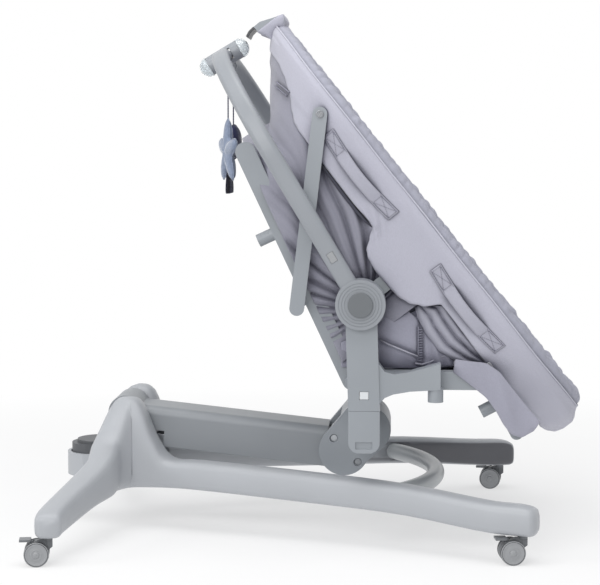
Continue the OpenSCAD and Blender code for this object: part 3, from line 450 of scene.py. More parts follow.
# %% [markdown]
# Three softboxes: a broad one over the swing a little in front, which leaves the undersides dark; a
# weak one beside the camera that fills the near side; and a narrow one from the head end that draws
# the bright line along the posts and the toy bar.

# %% Lamps
def softbox(name, place, aim, size, watts):
    lamp = bpy.data.lights.new(name, "AREA")
    lamp.shape, lamp.size, lamp.size_y, lamp.energy = "RECTANGLE", size[0], size[1], watts
    lamp.color = (1.0, 0.995, 0.985)
    box = bpy.data.objects.new(name, lamp)
    box.location = place
    box.rotation_euler = (Vector(aim) - Vector(place)).to_track_quat("-Z", "Y").to_euler()
    bpy.context.scene.collection.objects.link(box)
    return box


softbox("softbox_top", (-0.1, -0.6, 2.9), (0, 0, 0.4), (2.6, 2.0), 46)
softbox("softbox_front", (-0.9, -3.2, 1.9), (0, 0, 0.5), (1.8, 1.8), 40)
softbox("softbox_head", (-2.6, -1.2, 1.6), (0, 0, 0.5), (0.9, 1.8), 16)

# %% [markdown]
# The rigid pieces come from the CAD frame with sharp edges, which no moulding has. Modifiers round
# them without touching the CAD mesh: weld the triangles together, dissolve the flat ones into
# whole faces, bevel the edges that turn sharply, and let the big faces rule the shading normals.

# %% Rounded edges on the rigid pieces
WELD_WITHIN = 0.00002
FLAT_WITHIN = math.radians(0.5)
FACE_WEIGHT = 80
finishes = {}


def dress(names, finish, slot, rounding=1.2, angle=32, steps=2):
    for name in names.split():
        piece = nodes[name]
        mesh = piece.data
        if "custom_normal" in mesh.attributes:
            mesh.attributes.remove(mesh.attributes["custom_normal"])
        mesh.polygons.foreach_set("use_smooth", [True] * len(mesh.polygons))
        piece.modifiers.new("weld", "WELD").merge_threshold = WELD_WITHIN
        if rounding:
            flat = piece.modifiers.new("flat", "DECIMATE")
            flat.decimate_type, flat.angle_limit = "DISSOLVE", FLAT_WITHIN
            edge = piece.modifiers.new("edges", "BEVEL")
            edge.width, edge.segments, edge.limit_method = rounding / 1000, steps, "ANGLE"
            edge.angle_limit, edge.use_clamp_overlap = math.radians(angle), True
            edge.harden_normals = False
            normal = piece.modifiers.new("normals", "WEIGHTED_NORMAL")
            normal.keep_sharp, normal.weight = False, FACE_WEIGHT
        mesh.materials.clear()
        mesh.materials.append(finish)
        finishes[name] = (finish.name, slot)


SIDES = ("rear_right", "rear_left", "front_right", "front_left")
dress("near_leg far_leg", leg_painted_inner_shade, "grey_plastic", rounding=0)
dress("hub_base", hub_grey, "grey_plastic", 1.6)
dress("pedal_housing", shell_grey, "grey_plastic", 1.6)
dress("cross_tube", tube_paint, "grey_tube", 0.8)
dress("arm_base_pins pedal_pin carrier_pins", pin_steel, "steel", 0.6)
dress("upper_link lower_link", pin_steel, "steel", 0.8)
dress("link_rivets", bright_steel, "steel", 0.5)
dress("foot_pedal back_board", dark_grey, "dark_plastic", 1.2)
dress("recline_lever", lever_grey, "dark_plastic", 0.8)
dress("arm_shell", arm_grey, "grey_plastic", 3.0, steps=3)
dress("carrier_hub carrier_beam socket_right socket_left", post_grey, "grey_plastic", 1.8)
dress("upright_right upright_left", post_grey, "grey_plastic", 2.4, steps=3)
dress("seat_frame top_ring backrest_frame leg_rest_frame", post_grey, "grey_plastic", 1.2)
dress("latch_button_right latch_button_left", milky, "grey_plastic", 0.5)
dress("bar_button_right bar_button_left", wheel_grey, "grey_plastic", 0.5)
dress("recline_shaft_right recline_shaft_left", cap_grey, "grey_plastic", 1.0)
dress("head_block", post_grey, "grey_plastic", 1.5)
dress("side_link_right side_link_left", post_grey, "grey_plastic", 0.7)
dress("toy_bar toy_holder", bar_grey, "grey_plastic", 1.4)
dress("holder_domes", dome_clear, "clear_dome", 0)
for side in SIDES:
    dress(f"caster_body_{side}", caster_grey, "caster_plastic", 0.8)
    dress(f"caster_wheels_{side}", wheel_grey, "wheel_rubber", 0.8)
    dress(f"caster_brake_{side}", caster_grey, "caster_plastic", 0.6)
print("dressed", len(finishes), "rigid pieces")

# %% [markdown]
# All the sewn pieces hang on the oval ring, so they are easiest to think of in the ring's own frame:
# x towards the foot end, y across, z out of the open side, zero on the recline axis. One function
# turns such points into the room's frame. Another walks round the oval at an even pace and says
# which way is outwards, and every fabric band is a grid over that walk.

# %% The ring's frame and its oval walk
MM = 0.001
RING_ANGLE = math.radians(joints["recline"]["range_deg"][1])
RING_MIDDLE, RING_RISE = -36.0, 169.0
RING_END, RING_STRAIGHT = 220.0, 195.0
axis_x, _, axis_z = (1000 * v for v in joints["recline"]["pos_m"])
SLOPE_COS, SLOPE_SIN = math.cos(RING_ANGLE), math.sin(RING_ANGLE)


def ring_to_room(x, y, z):
    x, y, z = np.broadcast_arrays(np.asarray(x, float), y, z)
    along = axis_x + x * SLOPE_COS + z * SLOPE_SIN
    return np.stack([along, y, axis_z - x * SLOPE_SIN + z * SLOPE_COS], -1)


def oval_walk(steps):
    """Place and outward direction at even steps round the middle of the tube, from the foot end."""
    half, arc = RING_STRAIGHT, math.pi * RING_END
    length = 2 * arc + 4 * half
    s = (np.arange(steps) + 0.5) * length / steps
    out = np.zeros((steps, 5))
    for i, d in enumerate(s):
        if d < arc / 2 or d >= length - arc / 2:
            a = d / RING_END if d < arc / 2 else (d - length) / RING_END
            nx, ny = math.cos(a), math.sin(a)
            x, y = half + RING_END * nx, RING_END * ny
        elif d < arc / 2 + 2 * half:
            x, y, nx, ny = half - (d - arc / 2), RING_END, 0.0, 1.0
        elif d < 1.5 * arc + 2 * half:
            a = math.pi / 2 + (d - arc / 2 - 2 * half) / RING_END
            nx, ny = math.cos(a), math.sin(a)
            x, y = -half + RING_END * nx, RING_END * ny
        else:
            x, y, nx, ny = -half + (d - 1.5 * arc - 2 * half), -RING_END, 0.0, -1.0
        out[i] = x + RING_MIDDLE, y, nx, ny, d
    return out.T


def smooth_steps(x, places, values):
    """Values at places, joined by soft steps instead of straight lines."""
    x = np.asarray(x, float)
    i = np.clip(np.searchsorted(places, x) - 1, 0, len(places) - 2)
    p, v = np.asarray(places, float), np.asarray(values, float)
    t = np.clip((x - p[i]) / (p[i + 1] - p[i]), 0, 1)
    return v[i] + (v[i + 1] - v[i]) * (0.35 * t + 0.65 * t * t * (3 - 2 * t))


def ripple(points, size, seed=0.0):
    """Soft noise at each point, repeatable."""
    flat = np.asarray(points, float).reshape(-1, 3) / size + seed
    return np.array([hum(Vector(p)) for p in flat]).reshape(np.asarray(points).shape[:-1])


# %% [markdown]
# A mesh made from a grid of points is the natural form of a piece of cloth: rows are threads one way
# and columns the other. This helper builds it, closes it on itself where asked, gives it a little
# thickness, smooths it, and makes it ride on its body.

# %% Grids into pieces
def faces_of(rows, cols, wrap_rows=False, wrap_cols=False):
    faces = []
    for r in range(rows if wrap_rows else rows - 1):
        for c in range(cols if wrap_cols else cols - 1):
            r2, c2 = (r + 1) % rows, (c + 1) % cols
            faces.append((r * cols + c, r * cols + c2, r2 * cols + c2, r2 * cols + c))
    return faces


def shade_smooth(mesh):
    mesh.polygons.foreach_set("use_smooth", [True] * len(mesh.polygons))


def subdivide(piece, levels):
    smooth = piece.modifiers.new("soft", "SUBSURF")
    smooth.levels = smooth.render_levels = levels


def close_ends(piece):
    """Fill the open ends of a tube-like grid, and turn every face outwards."""
    bm = bmesh.new()
    bm.from_mesh(piece.data)
    bmesh.ops.holes_fill(bm, edges=[e for e in bm.edges if e.is_boundary], sides=0)
    bmesh.ops.recalc_face_normals(bm, faces=bm.faces)
    bm.to_mesh(piece.data)
    bm.free()


def make_piece(name, verts, faces, finish, body, slot, thick=0.0, soften=0, stands_for=()):
    """A new piece from points in millimetres; body stays None for a piece that rides on no body."""
    mesh = bpy.data.meshes.new(name)
    mesh.from_pydata([tuple(MM * v for v in p) for p in verts], [], faces)
    shade_smooth(mesh)
    mesh.materials.append(finish)
    piece = bpy.data.objects.new(name, mesh)
    bpy.context.scene.collection.objects.link(piece)
    if thick:
        wall = piece.modifiers.new("thickness", "SOLIDIFY")
        wall.thickness, wall.offset, wall.use_even_offset = thick * MM, 0.0, False
    if soften:
        subdivide(piece, soften)
    if body:
        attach(piece, body)
    if stands_for:
        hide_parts(*stands_for)
    return piece


def make_grid(name, grid, finish, body, slot, wrap_rows=False, wrap_cols=False, **extra):
    rows, cols = grid.shape[:2]
    return make_piece(name, grid.reshape(-1, 3), faces_of(rows, cols, wrap_rows, wrap_cols),
                      finish, body, slot, **extra)


def sheet_area(piece):
    """Area of one side of a sheet, in square metres."""
    return sum(p.area for p in piece.data.polygons)


def tube_along(points, radius, sides=10, caps=True):
    """Vertices and faces of a round bar along a list of points; radius may vary."""
    points = [Vector(p) for p in points]
    n = len(points)
    radii = radius if hasattr(radius, "__len__") else [radius] * n
    tangents = [(points[min(i + 1, n - 1)] - points[max(i - 1, 0)]).normalized() for i in range(n)]
    side = tangents[0].orthogonal().normalized()
    verts = []
    for p, t, r in zip(points, tangents, radii):
        side = (side - t * side.dot(t)).normalized()
        other = t.cross(side)
        verts += [p + r * (math.cos(a) * side + math.sin(a) * other)
                  for a in (2 * math.pi * k / sides for k in range(sides))]
    faces = faces_of(n, sides, wrap_cols=True)
    if caps:
        faces += [tuple(range(sides - 1, -1, -1)), tuple((n - 1) * sides + k for k in range(sides))]
    return verts, faces


def joined(parts):
    """Several (verts, faces) lists as one."""
    verts, faces = [], []
    for v, f in parts:
        base = len(verts)
        verts += list(v)
        faces += [tuple(base + i for i in face) for face in f]
    return verts, faces


print("grid helpers ready")

# %% [markdown]
# The ring is wrapped in a padded sleeve. Its outer half carries on downwards as the side panel; over
# the top runs a strip that is gathered on a cord, which makes a ruffle of small pleats, larger round
# the foot end where the cord pulls hardest. Sleeve and ruffle are both tubes over the oval walk; the
# ruffle's pleats are round ridges with sharp valleys, which is how gathered cloth lies.

# %% Padded sleeve and ruffle
SLEEVE_R = 17.0
RUFFLE_R = 18.0
RUFFLE_FROM, RUFFLE_TO = math.radians(12), math.radians(205)
FINE_PLEAT, BROAD_PLEAT = 6.4, 15.5


def rim_sleeve():
    x, y, nx, ny, s = oval_walk(320)
    turn = np.linspace(0, 2 * math.pi, 20, endpoint=False)[:, None]
    swell = 0.5 * np.sin(s / 23.0) + 0.4 * np.sin(s / 61.0 + 1)
    r = SLEEVE_R - 0.6 + 0.5 * swell
    out, up = r * np.cos(turn), r * np.sin(turn)
    grid = ring_to_room(x + nx * out, y + ny * out, RING_RISE + up)
    piece = make_grid("rim_sleeve", grid, lilac_rim, "cradle", "lilac_fabric", True, True,
                      stands_for=("rim_cover",))
    return piece


def rim_ruffle():
    x, y, nx, ny, s = oval_walk(1080)
    rows = 22
    turn = np.linspace(RUFFLE_FROM, RUFFLE_TO, rows)[:, None]
    share = (turn - RUFFLE_FROM) / (RUFFLE_TO - RUFFLE_FROM)
    foot = np.clip(nx, 0, 1) ** 0.7 + np.clip((x - 60) / 300, 0, 0.6)
    wobble = np.array([hum(Vector((v / 60, 3.1, 0))) for v in s])
    slow = np.array([hum(Vector((v / 19, 7.7, 0))) for v in s])
    fine = np.abs(np.sin(s / FINE_PLEAT + 2.6 * wobble + 1.7 * share)) ** 0.8
    broad = np.abs(np.sin(s / BROAD_PLEAT + 1.9 * wobble + 1.1 * share + 0.6)) ** 0.9
    reach = np.sin(np.clip(share, 0, 1) * math.pi) ** 0.6
    pull = np.where(share < 0.12, share / 0.12, 1.0)
    heights = 3.2 * fine * (1 - 0.3 * np.clip(foot, 0, 1)) + (1.2 + 4.4 * foot) * broad
    lift = (0.6 + 0.4 * slow) * heights
    r = RUFFLE_R + pull * reach * lift + 0.5 * slow
    out, up = r * np.cos(turn), r * np.sin(turn)
    grid = ring_to_room(x + nx * out, y + ny * out, RING_RISE + up)
    piece = make_grid("rim_ruffle", grid, lilac_ruffle_painted_shade, "cradle", "lilac_fabric", False, True, thick=0.8)
    return piece


rim_sleeve()
ruffle = rim_ruffle()
print("ruffle cloth, square metres:", round(sheet_area(ruffle), 3))

# %% [markdown]
# The side panel is the smooth face of the cradle. It leaves the seam under the ruffle, follows the
# padded sleeve, and falls to a shaped hem: short beside the backrest, where the folding cloth has to
# move, with a deep tab over the round joint, and short again beside the legs. At the foot end it
# bulges over the baby's feet and turns under.

# %% Side panel
HEM_X = [-470, -411, -388, -361, -329, -310, -292, -250, -214, -137, -101, -88, -76, -63, -50, -25, 9,
         30, 50, 68, 88, 112, 214, 263, 345, 390]
HEM_Z = [138, 139, 134, 124, 107, 99, 97, 97, 95, 94, 96, 95, 79, 62, 56, 52, 53,
         55, 62, 76, 104, 104, 101, 102, 104, 99]
SEAM_Z = 176.0
GATHER_X, GATHER_Z = -86, 97
DENT_X, DENT_Z = 92, 118


def hem_height(x):
    return smooth_steps(x, HEM_X, HEM_Z)


def panel_offset(z, nx):
    """How far the panel stands outside the middle of the tube: sides, foot end and head end."""
    side = np.interp(z, [50, 100, 120, 132, 142, 151, 158, 165, 171, 176],
                     [2.6, 3.0, 4.2, 6.2, 9.5, 14.0, 17.4, 19.2, 19.8, 19.4])
    foot = np.interp(z, [96, 99, 104, 115, 130, 150, 158, 165, 171, 176],
                     [2, 8, 21, 33, 38, 38, 34, 27, 23, 20.5])
    head = np.interp(z, [8, 60, 87, 118, 126, 140, 152, 165, 171, 176],
                     [-104, -118, -76, -37, -22, -7, 5, 17, 19, 19.2])
    to_foot, to_head = np.clip(nx, 0, 1) ** 2.2, np.clip(-nx, 0, 1) ** 1.6
    return side * (1 - to_foot - to_head) + foot * to_foot + head * to_head


def side_panel():
    x, y, nx, ny, s = oval_walk(760)
    rows = 30
    t = np.linspace(0, 1, rows)[:, None]
    hem = hem_height(x)
    z = SEAM_Z - (SEAM_Z - hem) * t
    off = panel_offset(z, nx)
    spot = np.stack(np.broadcast_arrays(x, y, z), -1)
    drape = 1.5 * ripple(spot, 95, 2.0) + 0.7 * ripple(spot, 34, 9.0)
    near_gather = np.exp(-(((x - GATHER_X) / 26) ** 2 + ((z - GATHER_Z) / 22) ** 2))
    tuck = np.sin((x - GATHER_X) * 0.24 + (z - GATHER_Z) * 0.42)
    dent = np.exp(-(((x - DENT_X) / 20) ** 2 + ((z - DENT_Z) / 18) ** 2))
    tab = np.exp(-((x / 60) ** 2)) * np.clip((95 - z) / 45, 0, 1)
    off = off + t * drape + 1.6 * near_gather * tuck - 3.0 * dent + 1.2 * tab
    hem_curl = np.clip((t - 0.93) / 0.07, 0, 1) ** 2
    off = off - 1.4 * hem_curl
    slack_foot = np.clip(nx, 0, 1) ** 1.2
    waves = 1.7 * np.sin(s / 17.0 + 1.3 * np.sin(s / 41.0))
    off = off + slack_foot * (waves * np.clip(t * 1.3, 0, 1))
    grid = ring_to_room(x + nx * off, y + ny * off, z)
    piece = make_grid("side_panel", grid, lilac, "cradle", "lilac_fabric", False, True, thick=1.2)
    return piece


panel = side_panel()
print("side panel, square metres:", round(sheet_area(panel), 3))

# %% [markdown]
# Between the side panel and the folding backrest hangs a curtain of the same cloth, coloured a darker
# lilac as painted shade for where it hangs back under the panel. When the swing is reclined it has to
# reach much further down, so upright it lies in deep pleats that fan out from the round joint. It goes
# round the head end in one piece. It replaces the plain wall of the CAD frame.
# Each pleat is a smooth wave of the angle seen from the joint, so the valleys stay round and the
# rows of the grid never fold over each other.

# %% Pleated curtain
FAN_X, FAN_Z = 26.0, 4.0
CURTAIN_TOP, CURTAIN_END = 150, 64.0
PLEATS, MINOR_PLEATS = 17, 43
PLEAT_DEEP, MINOR_DEEP = 12.5, 2.2
# Painted shade: the curtain's lilac is darker than the side panel's.
lilac_curtain_painted_shade = woven("lilac_curtain_cloth_painted_shade", swatch(147, 147, 160), melange=0.07, sheen=0.3)


def curtain_hem(x):
    return np.interp(x, [-470, -345, -317, -253, -207, -163, -100, -30, CURTAIN_END],
                     [6, 6, 8, -15, -26, -38, -52, -68, -90])


def pleated_curtain():
    x, y, nx, ny, s = oval_walk(1200)
    keep = np.where(x < CURTAIN_END)[0]
    x, y, nx, ny, s = (v[keep] for v in (x, y, nx, ny, s))
    rows = 84
    t = np.linspace(0, 1, rows)[:, None]
    hem = curtain_hem(x + 60 * np.clip(-nx, 0, 1) ** 2)
    z = CURTAIN_TOP + (hem - CURTAIN_TOP) * t
    side = np.interp(z, [-90, 0, 60, 100, 130, 150], [-15.5, -13, -9, -4.5, -1.0, 1.0])
    near_bracket = np.exp(-((x / 38) ** 2))
    side = side - near_bracket * np.clip(side + 22, 0, 30) * np.clip((CURTAIN_TOP - z) / 30, 0, 1)
    head = np.interp(z, [6, 60, 87, 118, 126, 140, 150], [-104, -118, -76, -38, -24, -10, 0])
    to_head = np.clip(-nx, 0, 1) ** 1.6
    off = side * (1 - to_head) + head * to_head
    dx, dz = FAN_X - x, z - FAN_Z
    ray = np.arctan2(dz, np.maximum(dx, 1))
    far = np.hypot(dx, dz)
    spot = np.stack(np.broadcast_arrays(x, y, z), -1)
    stray = ripple(spot, 120, 4.0)
    pleat = (np.sin(PLEATS * ray + 1.5 * stray + 0.4) ** 2 + 0.03) ** 0.4
    minor = (np.sin(MINOR_PLEATS * ray + 2.6 * stray) ** 2 + 0.05) ** 0.45
    depth = np.clip(far / 100, 0.3, 1) * np.clip((140 - z) / 45, 0, 1)
    calm_head = 1 - 0.75 * np.clip(-nx, 0, 1)
    folds = PLEAT_DEEP * (pleat - 0.68) + MINOR_DEEP * (minor - 0.5)
    off = off + depth * calm_head * folds + 1.3 * ripple(spot, 55, 1.0)
    off = np.where(np.abs(ny) > 0.9, np.minimum(off, 2.5), off)
    grid = ring_to_room(x + nx * off, y + ny * off, z)
    piece = make_grid("pleated_curtain", grid, lilac_curtain_painted_shade, "cradle", "lilac_fabric", thick=0.8,
                      stands_for=("basket",))
    return piece


curtain = pleated_curtain()
print("curtain cloth, square metres:", round(sheet_area(curtain), 3))

# %% [markdown]
# Stitches are modelled one by one, as short raised bars along a path. Each bar is narrower on top
# than where it enters the cloth, so light catches its edges as it does on real thread.

# %% Stitches
STITCH_PITCH, STITCH_LONG, STITCH_WIDE, STITCH_HIGH = 4.2, 3.0, 0.9, 0.7


def stitches(path, pitch=STITCH_PITCH, length=STITCH_LONG):
    """Short bars along a path of (point, normal) pairs; gives verts and faces."""
    parts = []
    points = [Vector(p) for p, _ in path]
    normals = [Vector(n).normalized() for _, n in path]
    faces = [(0, 3, 2, 1), (4, 5, 6, 7), (0, 1, 5, 4), (1, 2, 6, 5), (2, 3, 7, 6), (3, 0, 4, 7)]
    run = [0.0]
    for a, b in zip(points, points[1:]):
        run.append(run[-1] + (b - a).length)
    place = pitch / 2
    while place < run[-1]:
        i = max(k for k in range(len(run) - 1) if run[k] <= place)
        t = (place - run[i]) / max(run[i + 1] - run[i], 1e-6)
        mid = points[i].lerp(points[i + 1], t)
        up = normals[i].lerp(normals[i + 1], t).normalized()
        along = (points[i + 1] - points[i]).normalized() * (length / 2)
        across = along.cross(up).normalized() * (STITCH_WIDE / 2)
        low, high = mid - 0.3 * up, mid + STITCH_HIGH * up
        verts = [low - along - across, low + along - across, low + along + across, low - along + across,
                 high - 0.7 * along - 0.6 * across, high + 0.7 * along - 0.6 * across,
                 high + 0.7 * along + 0.6 * across, high - 0.7 * along + 0.6 * across]
        parts.append((verts, faces))
        place += pitch
    return parts


print("stitches", STITCH_LONG, "mm long, one every", STITCH_PITCH, "mm")

# %% [markdown]
# Two webbing handles are sewn on each side panel. Each is a flat strap with a square patch at both
# ends, sewn down with a box and a cross, the usual way to spread the pull; between the patches it
# stands a little away from the panel and sags by a few millimetres.

# %% Webbing handles
HANDLES = [(-257, -80), (31, 208)]
STRAP_Z = [134, 134.5]
STRAP_HALF = 11.5
STRAP_SAG = 7.0
PATCH = 42


def hand_of(side):
    """The nearer side is the baby's right."""
    return "right" if side < 0 else "left"


def strap_point(x, z, side, lift):
    """A point on a strap: lift is how far it stands off the panel."""
    walk_x = np.clip(x - RING_MIDDLE, -RING_STRAIGHT - RING_END, RING_STRAIGHT + RING_END)
    over = max(abs(walk_x) - RING_STRAIGHT, 0.0)
    panel = float(np.interp(z, [100, 120, 132, 142, 151], [3.2, 4.6, 6.4, 9.6, 14]))
    y = math.sqrt(RING_END ** 2 - over ** 2) + panel
    return ring_to_room(x, side * (y + lift), z)


def loose(x, x0, x1):
    """0 on the sewn patches, rising to 1 in the middle of the strap."""
    inner = max(0.0, min(1.0, (x - x0 - PATCH) / (x1 - x0 - 2 * PATCH)))
    return math.sin(math.pi * inner) ** 0.7 if 0 < inner < 1 else 0.0


def handle(side, x0, x1, z_mid):
    grid, rows, cols = [], 7, 44
    for r in range(rows):
        v = r / (rows - 1) * 2 - 1
        line = []
        for c in range(cols):
            x = x0 + (x1 - x0) * c / (cols - 1)
            stand = loose(x, x0, x1)
            sag = -STRAP_SAG * math.sin(math.pi * (c / (cols - 1)))
            z = z_mid + STRAP_HALF * v * (1 - 0.08 * stand) + sag
            lift = 1.4 + 6.4 * stand + 1.4 * (1 - v * v) * (0.3 + 0.7 * stand)
            line.append(strap_point(x, z, side, lift))
        grid.append(line)
    return np.array(grid)


def handle_stitches(side, x0, x1, z_mid):
    parts = []
    n = Vector(ring_to_room(0, side, 0) - ring_to_room(0, 0, 0))
    steps, inset = 40, 3
    for edge in (-1, 1):
        line = []
        for k in range(steps + 1):
            x = x0 + (x1 - x0) * k / steps
            z = z_mid + edge * (STRAP_HALF - 2) - STRAP_SAG * math.sin(math.pi * k / steps)
            line.append((strap_point(x, z, side, 2.3 + 3.6 * loose(x, x0, x1)), n))
        parts += stitches(line)
    for start in (x0 + inset, x1 - PATCH + inset):
        a, b = start, start + PATCH - 2 * inset
        drop = [-STRAP_SAG * math.sin(math.pi * (v - x0) / (x1 - x0)) for v in (a, b)]
        lo, hi = -STRAP_HALF + inset, STRAP_HALF - inset
        box = [(a, z_mid + lo + drop[0]), (b, z_mid + lo + drop[1]),
               (b, z_mid + hi + drop[1]), (a, z_mid + hi + drop[0])]
        for p, q in ((0, 1), (1, 2), (2, 3), (3, 0), (0, 2), (1, 3)):
            line = [(strap_point(box[p][0] + (box[q][0] - box[p][0]) * k / 4,
                                 box[p][1] + (box[q][1] - box[p][1]) * k / 4, side, 2.5), n)
                    for k in range(5)]
            parts += stitches(line, pitch=3.2, length=2.3)
    return parts


for side in (-1, 1):
    for (x0, x1), z_mid, end in zip(HANDLES, STRAP_Z, ("head", "foot")):
        make_grid(f"handle_{end}_{hand_of(side)}", handle(side, x0, x1, z_mid), lilac_strap, "cradle",
                  "lilac_fabric", thick=1.6, stands_for=("carry_handles",))
        verts, faces = joined(handle_stitches(side, x0, x1, z_mid))
        make_piece(f"handle_stitches_{end}_{hand_of(side)}", verts, faces, thread_dark, "cradle",
                   "lilac_fabric")
print("handles:", 2 * len(HANDLES))

# %% [markdown]
# Seams: where two panels of cloth meet, a line of stitches sinks into the cloth and the edge stands
# up beside it. One runs right round under the ruffle as a rolled cord; a double row crosses each head
# corner. The blank tag is a loop of white tape caught in the hem of the side panel near the legs.

# %% Piping, corner seams and the tag
PIPING_R = 1.5
CORNER_ROWS = (0.0, 7.0)


def seam_piping():
    x, y, nx, ny, s = oval_walk(420)
    off = panel_offset(np.full(len(x), SEAM_Z - 0.5), nx) + 0.5
    z = SEAM_Z - 0.6 + 0.5 * np.sin(s / 31)
    turn = np.linspace(0, 2 * math.pi, 8, endpoint=False)[:, None]
    out, up = off + PIPING_R * np.cos(turn), PIPING_R * np.sin(turn)
    grid = ring_to_room(x + nx * out, y + ny * out, z + up)
    return make_grid("seam_piping", grid, lilac_rim, "cradle", "lilac_fabric", True, True)


def corner_seams():
    parts = []
    for side in (-1, 1):
        for shift in CORNER_ROWS:
            line = []
            for k in range(20):
                t = k / 19
                x, z = -404 + 48 * t - shift * 0.4, 116 + 8 * t - shift
                over = max(abs(x - RING_MIDDLE) - RING_STRAIGHT, 0.0)
                a = math.asin(min(over / RING_END, 1))
                off = float(panel_offset(np.array([z]), np.array([-math.sin(a)]))[0]) + 1.2
                px = RING_MIDDLE - RING_STRAIGHT - (RING_END + off) * math.sin(a)
                py = side * (RING_END + off) * math.cos(a)
                line.append(ring_to_room(px, py, z))
            parts.append(tube_along(line, 1.1, 6))
    verts, faces = joined(parts)
    return make_piece("corner_seams", verts, faces, thread_dark, "cradle", "lilac_fabric")


def blank_tag():
    grid = []
    for r in range(5):
        v = r / 4 * 2 - 1
        line = []
        for c in range(9):
            t = c / 8
            x, z = 213 + 22 * t, 101.5 - 1.5 * t + 6.5 * v
            line.append(strap_point(x, z, -1, 1.5 + 2.2 * math.sin(math.pi * t)))
        grid.append(line)
    return make_grid("blank_tag", np.array(grid), tag_white, "cradle", "lilac_fabric", thick=0.6, soften=1)


for piece in (seam_piping(), corner_seams(), blank_tag()):
    print(piece.name, "has", len(piece.data.polygons), "faces")

# %% [markdown]
# Backrest and leg rest are flat boards that hinge on the seat. Like the ring, each has a frame of its
# own, in which sewn parts are easy to write down: x along the board from its hinge, y across, and z
# out of its face. One function goes from there to the room and another comes back.

# %% The boards' frames
BACK_HINGE, SEAT_FRONT = joints["backrest_fold"]["pos_m"], joints["leg_rest_fold"]["pos_m"]
BACK_ANGLE, LEG_ANGLE = math.radians(64.9), math.radians(62)


def board_to_room(hinge, angle, x, y, z):
    x, y, z = np.broadcast_arrays(np.asarray(x, float), y, z)
    c, s = math.cos(angle), math.sin(angle)
    return np.stack([1000 * hinge[0] + x * c + z * s, y, 1000 * hinge[2] - x * s + z * c], -1)


def room_to_board(hinge, angle, p):
    c, s = math.cos(angle), math.sin(angle)
    dx, dz = p[..., 0] - 1000 * hinge[0], p[..., 2] - 1000 * hinge[2]
    return np.stack([dx * c - dz * s, p[..., 1], dx * s + dz * c], -1)


print("backrest hinge, mm:", [round(1000 * v) for v in BACK_HINGE])

# %% [markdown]
# Seat, backrest and leg rest each carry a thin wadded pad. A pad is two sheets of cloth with wadding
# between them, so it swells in the middle and pulls in along its seams. We make a thin closed slab on
# the board's own frame and let a short cloth simulation blow it up with a little pressure. Left free
# it would swell to a cushion, so we hold each point to a few millimetres of travel, and then press
# the sewn channels into the result.

# %% Wadded pads
PAD_GRID = 7.0
PAD_EDGE = 9.0
PAD_TRAVEL = 7.0
PAD_HALF = 170
CHANNEL_DEEP, CHANNEL_WIDE = 7.0, 7.0
SIDE_SEAM_AT, SIDE_SEAM_DEEP = 0.72, 4.5


def slab(x0, x1, half_y, z0, z1, corner, pitch):
    """A closed flat pad: rows run round its section, columns along x, corners rounded in plan."""
    cols = max(int((x1 - x0) / pitch), 8)
    across = max(int(2 * half_y / pitch), 8)
    section = [(-1 + 2 * k / across, 1) for k in range(across + 1)] + [(1.0, 0.0)]
    section += [(1 - 2 * k / across, -1) for k in range(across + 1)] + [(-1.0, 0.0)]
    middle, half_z = (z0 + z1) / 2, (z1 - z0) / 2
    grid = np.zeros((len(section), cols + 1, 3))
    for c, x in enumerate(np.linspace(x0, x1, cols + 1)):
        edge = min(x - x0, x1 - x)
        cut = corner - math.sqrt(max(corner ** 2 - (corner - edge) ** 2, 0)) if edge < corner else 0
        pinch = math.sqrt(min(edge / PAD_EDGE, 1.0))
        for r, (v, side) in enumerate(section):
            side_edge = (1 - abs(v)) * (half_y - cut)
            thin = pinch * math.sqrt(min(side_edge / PAD_EDGE, 1.0))
            grid[r, c] = x, v * (half_y - cut), middle + side * half_z * max(thin, 0.12)
    return grid


def swell(piece, pressure=4.0):
    """Blow the pad up with a cloth simulation, hold each point to a short travel, and keep the result."""
    before = np.array([v.co for v in piece.data.vertices])
    cloth = piece.modifiers.new("cloth", "CLOTH")
    cloth.settings.use_pressure = True
    cloth.settings.uniform_pressure_force = pressure
    cloth.settings.effector_weights.gravity = 0
    cloth.settings.tension_stiffness = cloth.settings.compression_stiffness = 12
    cloth.collision_settings.use_collision = False
    cloth.collision_settings.use_self_collision = False
    for frame_number in range(1, 21):
        bpy.context.scene.frame_set(frame_number)
    evaluated = piece.evaluated_get(bpy.context.evaluated_depsgraph_get())
    after = np.array([v.co for v in evaluated.data.vertices])
    piece.modifiers.remove(cloth)
    bpy.context.scene.frame_set(1)
    step = after - before
    far = np.linalg.norm(step, axis=1, keepdims=True)
    step *= np.minimum(1.0, PAD_TRAVEL * MM / np.maximum(far, 1e-9))
    piece.data.vertices.foreach_set("co", (before + step).astype(np.float32).ravel())
    return float(far.max() * 1000)


